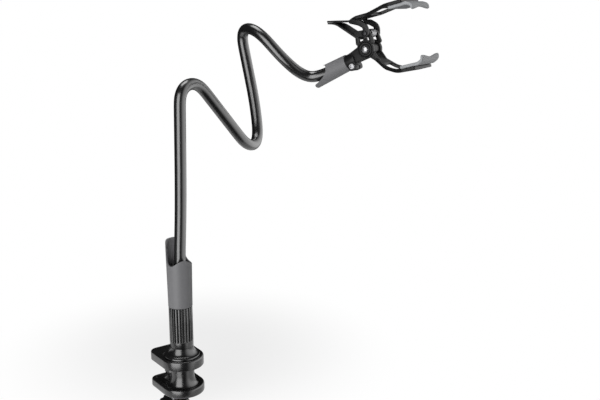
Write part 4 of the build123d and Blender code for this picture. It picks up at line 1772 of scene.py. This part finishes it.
@dataclass
class HeadJoint:
    """The upper sleeve and the knuckle that turns on its stub."""

    shop: Workshop
    axes: HeadAxes
    plug_bore: float = 4.6
    plug_radius: float = 9.6
    plug_span: Flat = (0.25, 3.0)
    collar_bore: float = 4.55
    collar_radius: float = 9.2
    collar_start: float = 0.5
    collar_end: float = 13.1
    ear_start: float = 1.8
    ear_end: float = 12.2
    ear_depth: float = 12.6
    ear_half_width: float = 9.0
    slit: float = 1.0
    pinch_along: float = 7.4
    pinch_drop: float = 7.7
    pinch_head: float = 3.6
    pinch_height: float = 2.6
    arm_roots: tuple[Point, ...] = ((9.0, 5.0, 3.5), (9.0, -2.0, 3.5))
    eye_radius: float = 9.5
    eye_half_width: float = 6.6

    def build_sleeve(self) -> None:
        """The smaller grey sleeve with its long tongue below the neck."""
        sleeve = ScarfSleeve(
            length=52.4,
            low=28.0,
            short_lip=6.4,
            lip_start=0.7,
            foot_radius=10.2,
            lip_radius=11.7,
            wall=1.8,
            inner_foot=22.0,
        )
        piece = sleeve.build("head_sleeve_tube", self.axes.sleeve, 0.6)
        self.shop.dress(piece, Slot.SLEEVE, Body.REACH, "head_sleeve")
        bore, rim, (low, high) = self.plug_bore, self.plug_radius, self.plug_span
        corners = [(bore, low), (rim, low), (rim, high), (bore, high)]
        plug = rounded_path(corners, [0.3, 0.3, 0, 0], closed=True)
        end = mesh_object("head_sleeve_end", Shell().lathe(plug, 72, closed=True), self.axes.sleeve)
        self.shop.dress(end, Slot.SLEEVE, Body.REACH)
        self.shop.dress_node("swivel_stub", Slot.STEEL)

    def build_knuckle(self) -> None:
        """The split collar with its ears, arm and eye."""
        shell = Shell()
        collar = rounded_path(
            [
                (self.collar_bore, self.collar_start),
                (self.collar_radius, self.collar_start),
                (self.collar_radius, self.collar_end),
                (self.collar_bore, self.collar_end),
            ],
            [0.2, 0.8, 1.2, 0.2],
            closed=True,
            steps=5,
        )
        to_knuckle = self.axes.knuckle.matrix(1.0).inverted() @ self.axes.stub.matrix(1.0)
        shell.add(Shell().lathe(collar, closed=True), to_knuckle)
        ear = belt(
            [
                (self.ear_start + 2.6, -self.ear_depth + 2.6, 2.6),
                (self.ear_end - 2.6, -self.ear_depth + 2.6, 2.6),
                (self.ear_start + 1.0, -4.0, 1.0),
                (self.ear_end - 1.0, -4.0, 1.0),
            ],
            72,
        )
        for low, high in ((self.slit, self.ear_half_width), (-self.ear_half_width, -self.slit)):
            shell.prism(ear, low, high, 0.7, 0.7)
        hub = (self.axes.hub_reach, self.axes.hub_rise)
        arm = belt([(*hub, self.eye_radius), *self.arm_roots], 120)
        shell.prism(arm, -self.eye_half_width, self.eye_half_width, 1.0, 1.0)
        piece = mesh_object("knuckle_casting", shell, self.axes.knuckle)
        self.shop.dress(piece, Slot.PLASTIC, Body.KNUCKLE, "knuckle")

    def build_pinch_bolt(self) -> None:
        """The pinch bolt's socket head on the near side and its nut on the far side."""
        seat = self.ear_half_width + 0.1
        place = Axes(
            tuple(self.axes.knuckle.point(self.pinch_along, -self.pinch_drop)),
            x=self.axes.knuckle.x,
            z=self.axes.knuckle.z,
        )
        shell = socket_head(self.pinch_head, seat, seat + self.pinch_height, 1.7, 1.5)
        shank = np.array([(1.6, -seat - 3.2), (2.0, -seat - 2.8), (2.0, seat + 0.2)])
        shell.lathe(shank, 32)
        piece = mesh_object("pinch_bolt_socket", shell, place)
        self.shop.dress(piece, Slot.STEEL, Body.KNUCKLE, "pinch_bolt")
        nut = hex_nut(4.0, -seat - self.pinch_height, -seat, 2.05)
        piece = mesh_object("pinch_nut_hex", nut, place, 30.0)
        self.shop.dress(piece, Slot.BLACK_STEEL, Body.KNUCKLE, "pinch_nut")

    def build(self) -> None:
        """Build the sleeve, knuckle and bolt."""
        self.build_sleeve()
        self.build_knuckle()
        self.build_pinch_bolt()


@dataclass
class BentStrip:
    """A moulded strip: a flat outline with windows, bent along a side profile.

    The outline's first coordinate is the length gone along the profile.
    """

    profile: np.ndarray
    thickness: list[Flat]
    outline: np.ndarray
    windows: list[np.ndarray] = field(default_factory=list)
    edge: float = 0.7

    def flat_mesh(self, name: str, full: float) -> bpy.types.Mesh:
        """The strip before bending, as a filled curve with rounded edges.

        Args:
            name: The piece's name.
            full: Its greatest thickness.

        Returns:
            The flat mesh.
        """
        loops = [at_height(loop, 0.0) for loop in (self.outline, *self.windows)]
        sheet = curve_object(name, "POLY", loops, closed=True)
        sheet.data.dimensions = "2D"
        sheet.data.fill_mode = "BOTH"
        sheet.data.extrude = full / 2 - self.edge
        sheet.data.bevel_depth = self.edge
        sheet.data.bevel_resolution = 3
        sheet.data.offset = -self.edge
        return plain_mesh(sheet)

    def build(self, name: str, axes: Axes) -> bpy.types.Object:
        """Make the strip.

        Args:
            name: The piece's name.
            axes: The clip's axes, which the profile is drawn in.

        Returns:
            The strip's object.
        """
        full = max(value for _, value in self.thickness)
        mesh = self.flat_mesh(name, full)
        work = bmesh.new()
        work.from_mesh(mesh)
        bmesh.ops.remove_doubles(work, verts=work.verts, dist=1e-4)
        gone = lengths_along(self.profile)
        for place in gone[1:-1]:
            bmesh.ops.bisect_plane(
                work,
                geom=[*work.verts, *work.edges, *work.faces],
                plane_co=(place, 0, 0),
                plane_no=(1, 0, 0),
                dist=1e-4,
            )
        slope = np.gradient(self.profile, axis=0)
        slope /= np.linalg.norm(slope, axis=1, keepdims=True)
        stations = np.array([station for station, _ in self.thickness])
        values = np.array([value for _, value in self.thickness])
        for vertex in work.verts:
            s, across, lift = vertex.co
            x, y = (np.interp(s, gone, self.profile[:, axis]) for axis in (0, 1))
            run, rise = (np.interp(s, gone, slope[:, axis]) for axis in (0, 1))
            lift *= np.interp(s, stations, values) / full
            vertex.co = (x - rise * lift, y + run * lift, -across)
        work.to_mesh(mesh)
        work.free()
        mesh.transform(axes.matrix())
        return finish_mesh(name, mesh, 35.0)


@dataclass
class SprungClip:
    """The sprung clip: two handled halves on one pin, with soft pads, over a tilting hub."""

    shop: Workshop
    axes: Axes
    half_width: float = 26.0
    handle_half_width: float = 12.6
    waist_back: float = -12.0
    waist_start: float = -4.0
    waist_end: float = 12.0
    jaw_bend: float = 41.0
    jaw_flat: float = 46.0
    jaw_end: float = 64.0
    window_end: float = 36.0
    upper_window: Point = (17.0, 13.4, 18.4)
    lower_window: Point = (19.0, 10.4, 17.1)
    pivot: Flat = (6.0, 18.0)
    pivot_eye: float = 4.6
    hub_radius: float = 11.2
    cheek_start: float = 7.8
    cheek_end: float = 12.6
    lug_start: float = 13.1
    lug_end: float = 17.1
    handle_thickness: float = 2.2
    arm_thickness: float = 3.8
    upper_height: float = 43.0
    lower_height: float = -35.2
    pad_thickness: float = 4.0
    pad_half_width: float = 25.0
    pad_lip: float = 75.0
    pad_lip_height: float = 8.4
    pad_lip_dip: float = 2.6
    wire_radius: float = 0.9
    coil_radius: float = 4.4
    coil_pitch: float = 2.1
    coil_turns: int = 4
    lower_leg_turn: float = 182.0
    upper_leg_turn: float = 94.0
    lower_leg: float = 16.0
    upper_leg: float = 18.0
    upper_line: tuple[Flat, ...] = ((-44.2, 44.2), (-13.5, 37.2), (-1.3, 39.2), (16, 39.2))
    lug_line: tuple[Flat, ...] = ((-9.5, 36.0), (0.8, 32.2), (7.0, 27.2), (8.0, 22.5))
    lug_halves: tuple[float, ...] = (2.6, 3.4, 3.3, 3.6)
    handle_line: tuple[Flat, ...] = ((-44.0, 41.9), (-32.5, 39.0), (-6, 14.0))
    handle_bend: float = 24.0
    arm_line: tuple[Flat, ...] = ((11, -14.6), (24, -27.6))
    ring_radius: float = 9.9
    ring_depth: float = 1.7
    tilt_radius: float = 3.0
    dome_radius: float = 4.2
    dome_rise: float = 1.8
    pin_radius: float = 2.0
    pin_head: float = 3.2
    washer_radius: float = 8.0
    washer_starts: Flat = (6.7, -7.7)

    def plan(self, profile: np.ndarray, edge: list[Flat]) -> np.ndarray:
        """The outline of a strip, laid out flat.

        Args:
            profile: The strip's side profile.
            edge: Half widths at places along the clip's x, over more than the profile's reach.

        Returns:
            The closed outline with rounded corners, by length gone along the profile.
        """
        low, high = profile[0, 0], profile[-1, 0]
        places = np.array([x for x, _ in edge])
        widths = np.array([y for _, y in edge])
        side = [(low, float(np.interp(low, places, widths)))]
        side += [(x, y) for x, y in edge if low < x < high]
        side.append((high, float(np.interp(high, places, widths))))
        corners = [(x, -y) for x, y in side] + [(x, y) for x, y in reversed(side)]
        bends = [14.0] * (len(side) - 2)
        outline = rounded_path(corners, [3.0, *bends, 2.0, 2.0, *bends, 3.0], closed=True)
        return self.unroll(profile, outline)

    @staticmethod
    def unroll(profile: np.ndarray, outline: np.ndarray) -> np.ndarray:
        """Turn places along the clip's x into lengths gone along a profile."""
        gone = np.interp(outline[:, 0], profile[:, 0], lengths_along(profile))
        return np.column_stack([gone, outline[:, 1]])

    def window(self, profile: np.ndarray, low: float, low_half: float, high_half: float) -> np.ndarray:
        """A tapering window with rounded corners in a jaw's arm.

        Args:
            profile: The strip's side profile.
            low: Where it starts along the clip's x.
            low_half: Its half width there.
            high_half: Its half width at its end.

        Returns:
            The window's outline, laid out flat.
        """
        high = self.window_end
        corners = [(low, -low_half), (high, -high_half), (high, high_half), (low, low_half)]
        return self.unroll(profile, rounded_path(corners, [2.5] * 4, closed=True))

    def build_upper(self) -> None:
        """The upper half: handle, waist, jaw and the two lugs on the pin."""
        height = self.upper_height
        profile = dense(
            rounded_path(
                [*self.upper_line, (self.jaw_bend, height), (self.jaw_end, height)],
                [0, 14, 14, 30, 30, 0],
                steps=8,
            ),
            1.2,
        )
        far = lengths_along(profile)[-1]
        back = float(self.unroll(profile, np.array([(self.waist_back - 3, 0.0)]))[0, 0])
        thin, thick = self.handle_thickness, self.arm_thickness
        edge = [
            (-90, self.handle_half_width),
            (self.waist_back, self.handle_half_width),
            (self.waist_start, self.lug_end),
            (self.waist_end, self.lug_end),
            (self.jaw_flat, self.half_width),
            (150, self.half_width),
        ]
        strip = BentStrip(
            profile,
            [(0, thin), (back, thin), (back + 6, thick), (far, thick)],
            self.plan(profile, edge),
            [self.window(profile, *self.upper_window)],
        )
        piece = strip.build("clip_upper_strip", self.axes)
        self.shop.dress(piece, Slot.PLASTIC, Body.CLIP_UPPER, "clip_upper_half")
        lug = limb([*self.lug_line, self.pivot], [*self.lug_halves, self.pivot_eye])
        shell = Shell()
        for low, high in ((self.lug_start, self.lug_end), (-self.lug_end, -self.lug_start)):
            shell.prism(lug, low + 0.1, high - 0.3, 0.7, 0.7)
        lugs = mesh_object("clip_upper_lugs", shell, self.axes)
        self.shop.dress(lugs, Slot.PLASTIC, Body.CLIP_UPPER)

    def build_lower_strips(self) -> None:
        """The lower half's handle plate and the bowed arm of its jaw."""
        thin, thick = self.handle_thickness, self.arm_thickness
        edge = [
            (-90, self.handle_half_width),
            (self.waist_end, self.handle_half_width),
            (self.jaw_flat, self.half_width),
            (150, self.half_width),
        ]
        handle = dense(rounded_path(list(self.handle_line), [0, self.handle_bend, 0]), 1.0)
        far = lengths_along(handle)[-1]
        strip = BentStrip(
            handle,
            [(0, thin * 0.75), (far * 0.3, thin), (far, thin * 1.25)],
            self.plan(handle, edge),
        )
        piece = strip.build("clip_lower_handle", self.axes)
        self.shop.dress(piece, Slot.PLASTIC, Body.CLIP, "clip_lower_half")
        height = self.lower_height
        arm = dense(
            rounded_path(
                [*self.arm_line, (self.jaw_bend, height), (self.jaw_end, height)],
                [0, 24, 30, 0],
                steps=12,
            ),
            1.0,
        )
        far = lengths_along(arm)[-1]
        strip = BentStrip(
            arm,
            [(0, thick), (far, thick)],
            self.plan(arm, edge),
            [self.window(arm, *self.lower_window)],
        )
        piece = strip.build("clip_lower_arm", self.axes)
        self.shop.dress(piece, Slot.PLASTIC, Body.CLIP)

    def build_lower_hub(self) -> None:
        """The lower half's two cheeks: ringed hub, bar to the pin, heel, post and hip."""
        shell = Shell()
        limbs = (
            (limb([(-8.6, 20.6), self.pivot], [3.4, self.pivot_eye]), 0.3),
            (limb([(-7.8, 15.4), (-8.4, 9.0)], [2.4, 2.6]), 0.4),
            (limb([(10.2, 7.4), (9.0, 16.0)], [2.7, 2.3]), 0.5),
            (limb([(5.0, -5.0), (13.2, -16.4)], [5.4, 2.4]), 1.85),
        )
        for outline, sunk in limbs:
            low, high = self.cheek_start + 0.2 + sunk / 4, self.cheek_end - sunk
            shell.prism(outline, low, high, 0.6, 0.6)
            shell.prism(outline, -high, -low, 0.6, 0.6)
        bore = self.tilt_radius + 0.1
        disc = rounded_path(
            [
                (bore, self.cheek_start),
                (self.hub_radius, self.cheek_start),
                (self.hub_radius, self.cheek_end),
                (self.ring_radius, self.cheek_end),
                (self.ring_radius - 2.0, self.cheek_end - self.ring_depth),
                (self.ring_radius - 3.5, self.cheek_end - self.ring_depth),
                (self.ring_radius - 4.3, self.cheek_end - 0.3),
                (bore, self.cheek_end - 0.3),
            ],
            [0, 0.3, 0.8, 0.4, 0.3, 0.3, 0.4, 0],
            closed=True,
            steps=4,
        )
        far = np.column_stack([disc[::-1, 0], -disc[::-1, 1]])
        shell.lathe(disc, closed=True).lathe(far, closed=True)
        piece = mesh_object("clip_lower_hub", shell, self.axes)
        self.shop.dress(piece, Slot.PLASTIC, Body.CLIP)

    def pad(self, name: str, height: float, way: int, body: Body, node: str) -> None:
        """A soft pad whose lip, hollowed between its ends, hooks over the gripped edge.

        Args:
            name: The piece's name.
            height: Height of the jaw that carries it.
            way: 1 for the upper jaw, -1 for the lower.
            body: The body it rides on.
            node: The node that it stands for.
        """
        floor = height - way * (self.arm_thickness + self.pad_thickness + 0.2) / 2
        lip = self.pad_lip_height
        profile = dense(
            rounded_path(
                [
                    (self.jaw_flat, floor),
                    (self.jaw_end + 4, floor),
                    (self.pad_lip - 1, floor - way * lip / 3),
                    (self.pad_lip, floor - way * lip),
                ],
                [0, 5, 4, 0],
                steps=12,
            ),
            0.7,
        )
        half = self.pad_half_width
        far = lengths_along(profile)[-1]
        across = np.linspace(-half + 2.0, half - 2.0, 41)
        hollow = self.pad_lip_dip * np.cos(across / half * math.pi / 2 * 1.15) ** 2
        hollow = np.where(np.abs(across) < half / 1.15, hollow, 0.0)
        lip_edge = np.column_stack([far - hollow, across])
        corners = [(0.0, -half), (far - 3.0, -half), (far - 0.8, -half + 0.6)]
        ends = [(far - 0.8, half - 0.6), (far - 3.0, half), (0.0, half)]
        outline = np.vstack([corners, lip_edge, ends])
        strip = BentStrip(
            profile,
            [(0, self.pad_thickness), (far - 12.0, self.pad_thickness), (far, 3.2)],
            outline,
            edge=1.4,
        )
        piece = strip.build(name, self.axes)
        self.shop.dress(piece, Slot.PAD, body, node)

    def build_pin(self) -> None:
        """The clip's hinge pin with a domed head at each end."""
        end = self.lug_end + 0.1
        shank, head = self.pin_radius, self.pin_head
        half = [(shank, 0.0), (shank, end), (head, end), (head, end + 0.5)]
        half += [(head - 0.6, end + 1.1), (head - 2.0, end + 1.4)]
        profile = np.array([(r, -h) for r, h in reversed(half)] + half[1:])
        place = Axes(tuple(self.axes.point(*self.pivot)), x=self.axes.x, z=self.axes.z)
        piece = mesh_object("clip_pin_headed", Shell().lathe(profile, 40), place)
        self.shop.dress(piece, Slot.BLACK_STEEL, Body.CLIP, "clip_pin")

    def build_spring(self) -> None:
        """The torsion spring, wound left-handed with a leg to each handle."""
        start = self.lower_leg_turn - 90
        finish = self.upper_leg_turn + 90
        turns = self.coil_turns + (start - finish) % 360 / 360
        height = self.coil_pitch * turns
        angle = math.radians(start) - np.linspace(0, 2 * math.pi * turns, int(turns * 32))
        round_pin = np.stack([np.cos(angle), np.sin(angle)], 1) * self.coil_radius + self.pivot
        coil = np.column_stack([round_pin, np.linspace(-height / 2, height / 2, len(angle))])
        legs = []
        for turn, length, end in (
            (self.lower_leg_turn, self.lower_leg, coil[0]),
            (self.upper_leg_turn, self.upper_leg, coil[-1]),
        ):
            aim = np.array([math.cos(math.radians(turn)), math.sin(math.radians(turn)), 0.0])
            legs.append(end + aim * length)
        path = np.vstack([legs[0], coil, legs[1]])
        route = np.array([self.axes.point(*place) for place in path])
        piece = self.shop.sweeps.sweep(
            "clip_spring_coil", route, self.wire_radius, self.shop.finish[Slot.STEEL], 14, 0.7
        )
        self.shop.dress(piece, Slot.STEEL, Body.CLIP, "clip_spring")

    def build_tilt_screw(self) -> None:
        """The domed tilt screw, its nut and the friction washers."""
        seat = self.cheek_end + 0.1
        shank, head = self.tilt_radius, self.dome_radius
        profile = [(shank, -seat - 3.2), (shank, seat + 0.05), (head - 0.8, seat), (head, seat + 0.1)]
        for step in range(9):
            turn = step / 8 * math.pi / 2 * 0.94
            profile.append((head * math.cos(turn), seat + 0.4 + self.dome_rise * math.sin(turn)))
        piece = mesh_object("tilt_screw_domed", Shell().lathe(np.array(profile), 64), self.axes)
        self.shop.dress(piece, Slot.STEEL, Body.CLIP, "tilt_screw")
        nut = hex_nut(5.4, -seat - 3.4, -seat, shank + 0.05)
        piece = mesh_object("tilt_nut_hex", nut, self.axes, 30.0)
        self.shop.dress(piece, Slot.BLACK_STEEL, Body.CLIP, "tilt_nut")
        washers = Shell()
        bore, rim = shank + 0.1, self.washer_radius
        for low in self.washer_starts:
            corners = [(bore, low), (rim, low), (rim, low + 1.0), (bore, low + 1.0)]
            washers.lathe(rounded_path(corners, [0.2] * 4, closed=True, steps=3), 72, closed=True)
        piece = mesh_object("friction_washer_pair", washers, self.axes)
        self.shop.dress(piece, Slot.NYLON, Body.CLIP, "friction_washers")

    def build(self) -> None:
        """Build the whole clip."""
        self.build_upper()
        self.build_lower_strips()
        self.build_lower_hub()
        self.pad("upper_grip_pad_soft", self.upper_height, 1, Body.CLIP_UPPER, "upper_grip_pad")
        self.pad("lower_grip_pad_soft", self.lower_height, -1, Body.CLIP, "lower_grip_pad")
        self.build_pin()
        self.build_spring()
        self.build_tilt_screw()


# Studio


@dataclass
class Studio:
    """The pale floor, the soft lights and the camera at the photograph's angle."""

    floor_height: float = -74.0
    camera_place: Point = (-459.6, -906.6, 442.3)
    heading: float = 36.0
    pitch: float = 13.3
    lens: float = 51.0
    world_strength: float = 0.22
    floor_shade: tuple[float, ...] = (0.86, 0.86, 0.86, 1.0)
    floor_glow: Flat = (0.68, 1.0)
    floor_mirror: float = 0.25
    glow_centre: float = 0.2
    glow_reach: Flat = (0.05, 0.32)
    floor_reach: float = 0.55
    floor_front: float = 0.1
    room_shade: float = 0.015
    wall_shade: float = 1.6
    wall_turn: float = 100.0
    wall_edge: Flat = (0.3, 0.95)

    @staticmethod
    def seen_by(tree: bpy.types.NodeTree) -> tuple[bpy.types.NodeSocket, bpy.types.NodeSocket]:
        """Two values: 1 where the camera sees a surface, and 1 where a reflection or clear body does.

        Args:
            tree: The tree that asks.

        Returns:
            The sockets of both values.
        """
        ray = add_node(tree, "ShaderNodeLightPath").outputs
        mirror = add_node(
            tree,
            "ShaderNodeMath",
            {0: ray["Is Glossy Ray"], 1: ray["Is Transmission Ray"]},
            operation="MAXIMUM",
        )
        return ray["Is Camera Ray"], mirror.outputs["Value"]

    @staticmethod
    def eased(
        tree: bpy.types.NodeTree, value: bpy.types.NodeSocket, reach: Flat, levels: Flat
    ) -> bpy.types.NodeSocket:
        """Ease from one level to another while a value runs over its reach.

        Args:
            tree: The tree to add to.
            value: The value.
            reach: Where the change starts and ends.
            levels: The level before and after.

        Returns:
            The socket with the eased level.
        """
        names = ("From Min", "From Max", "To Min", "To Max")
        inputs = {"Value": value, **dict(zip(names, (*reach, *levels)))}
        ease = add_node(tree, "ShaderNodeMapRange", inputs, interpolation_type="SMOOTHSTEP")
        return ease.outputs["Result"]

    @property
    def aim(self) -> Vector:
        """The camera's level heading."""
        turn = math.radians(self.heading)
        return Vector((math.sin(turn), math.cos(turn), 0.0))

    def towards(self, turn: float) -> Vector:
        """Level direction at an angle to the right of the way back to the camera.

        Args:
            turn: The angle in degrees.

        Returns:
            A unit vector.
        """
        angle = math.radians(turn)
        right = Vector((self.aim.y, -self.aim.x, 0.0))
        return right * math.sin(angle) - self.aim * math.cos(angle)

    def build_world(self) -> None:
        """A soft surround: white to the camera, and in reflections a white wall in a dark room."""
        world = bpy.data.worlds.new("studio")
        bpy.context.scene.world = world
        world.use_nodes = True
        tree = world.node_tree
        tree.nodes.clear()
        place = add_node(tree, "ShaderNodeTexCoord").outputs["Generated"]
        facing = add_node(
            tree,
            "ShaderNodeVectorMath",
            {0: place, 1: self.towards(self.wall_turn)},
            operation="DOT_PRODUCT",
        )
        levels = (self.room_shade, self.wall_shade)
        wall = self.eased(tree, facing.outputs["Value"], self.wall_edge, levels)
        camera, mirror = self.seen_by(tree)
        unseen = add_node(tree, "ShaderNodeMix", {"Factor": mirror, "A": self.world_strength, "B": wall})
        shown = add_node(
            tree, "ShaderNodeMix", {"Factor": camera, "A": unseen.outputs["Result"], "B": 1.0}
        )
        surround = add_node(
            tree, "ShaderNodeBackground", {"Color": WHITE, "Strength": shown.outputs["Result"]}
        )
        add_node(tree, "ShaderNodeOutputWorld", {"Surface": surround.outputs["Background"]})

    def build_floor(self) -> None:
        """A wide pale floor that keeps the shadow and fades to white far off."""
        mesh = bpy.data.meshes.new("floor")
        height = Vector((0.0, 0.0, self.floor_height * MM))
        right = Vector((self.aim.y, -self.aim.x, 0.0)) * self.floor_reach
        front, back = self.aim * -self.floor_front, self.aim * self.floor_reach
        corners = [front - right, front + right, back + right, back - right]
        corners = [tuple(corner + height) for corner in corners]
        mesh.from_pydata(corners, [], [(0, 1, 2, 3)])
        floor = linked("floor", mesh)
        material = bpy.data.materials.new("pale floor")
        material.use_nodes = True
        tree = material.node_tree
        shader = tree.nodes["Principled BSDF"]
        shader.inputs["Base Color"].default_value = self.floor_shade
        shader.inputs["Roughness"].default_value = 0.7
        shader.inputs["Specular IOR Level"].default_value = 0.2
        glow = add_node(tree, "ShaderNodeEmission", {"Color": WHITE, "Strength": 1.0})
        place = add_node(tree, "ShaderNodeTexCoord").outputs["Object"]
        away = add_node(
            tree,
            "ShaderNodeVectorMath",
            {0: place, 1: height + self.aim * self.glow_centre},
            operation="DISTANCE",
        )
        fade = self.eased(tree, away.outputs["Value"], self.glow_reach, self.floor_glow)
        camera, mirror = self.seen_by(tree)
        seen = add_node(
            tree, "ShaderNodeMath", {0: mirror, 1: self.floor_mirror, 2: camera}, operation="MULTIPLY_ADD"
        )
        share = add_node(tree, "ShaderNodeMath", {0: fade, 1: seen.outputs["Value"]}, operation="MULTIPLY")
        mix = add_node(
            tree,
            "ShaderNodeMixShader",
            {"Fac": share.outputs["Value"], 1: shader.outputs["BSDF"], 2: glow.outputs["Emission"]},
        )
        tree.links.new(mix.outputs["Shader"], tree.nodes["Material Output"].inputs["Surface"])
        mesh.materials.append(material)

    def add_light(self, name: str, place: Point, aim: Point, size: Flat, power: float) -> None:
        """Hang a soft box.

        Args:
            name: The lamp's name.
            place: Where it hangs, in millimetres.
            aim: The point that it faces.
            size: Its width and height in millimetres.
            power: Its power in watts.
        """
        data = bpy.data.lights.new(name, "AREA")
        data.shape = "RECTANGLE"
        data.size, data.size_y = size[0] * MM, size[1] * MM
        data.energy = power
        lamp = linked(name, data)
        lamp.location = Vector(place) * MM
        lamp.rotation_euler = (Vector(aim) - Vector(place)).to_track_quat("-Z", "Y").to_euler()

    def build_lights(self) -> None:
        """A tall, wide key from the left and a top light."""
        middle = (90.0, -40.0, 200.0)
        self.add_light("key", (-1440.0, -780.0, 300.0), middle, (1500.0, 2200.0), 33.0)
        self.add_light("top", (100.0, 300.0, 1700.0), middle, (900.0, 900.0), 9.0)

    def build_camera(self) -> None:
        """The camera where the photograph was taken from."""
        data = bpy.data.cameras.new("camera")
        data.sensor_width = 36.0
        data.lens = self.lens
        data.clip_start, data.clip_end = 0.01, 50.0
        camera = linked("camera", data)
        camera.location = Vector(self.camera_place) * MM
        camera.rotation_euler = (math.radians(90 - self.pitch), 0.0, math.radians(-self.heading))
        bpy.context.scene.camera = camera

    def build(self) -> None:
        """Build the studio."""
        self.build_world()
        self.build_floor()
        self.build_lights()
        self.build_camera()
        bpy.context.scene.view_settings.view_transform = "Standard"


def clear_scene() -> None:
    """Remove what a new file holds."""
    for thing in list(bpy.data.objects):
        bpy.data.objects.remove(thing)


def main() -> None:
    """Load the frame, build and dress every piece and set the studio."""
    logging.basicConfig(level=logging.INFO, format="%(message)s")
    clear_scene()
    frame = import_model()
    shop = Workshop(frame)
    head = HeadAxes()
    for assembly in (
        ScrewClamp(shop),
        Post(shop),
        Gooseneck(shop),
        HeadJoint(shop, head),
        SprungClip(shop, head.clip),
        Studio(),
    ):
        assembly.build()
        LOG.info("%s is done", type(assembly).__name__)


if __name__ == "__main__":
    main()
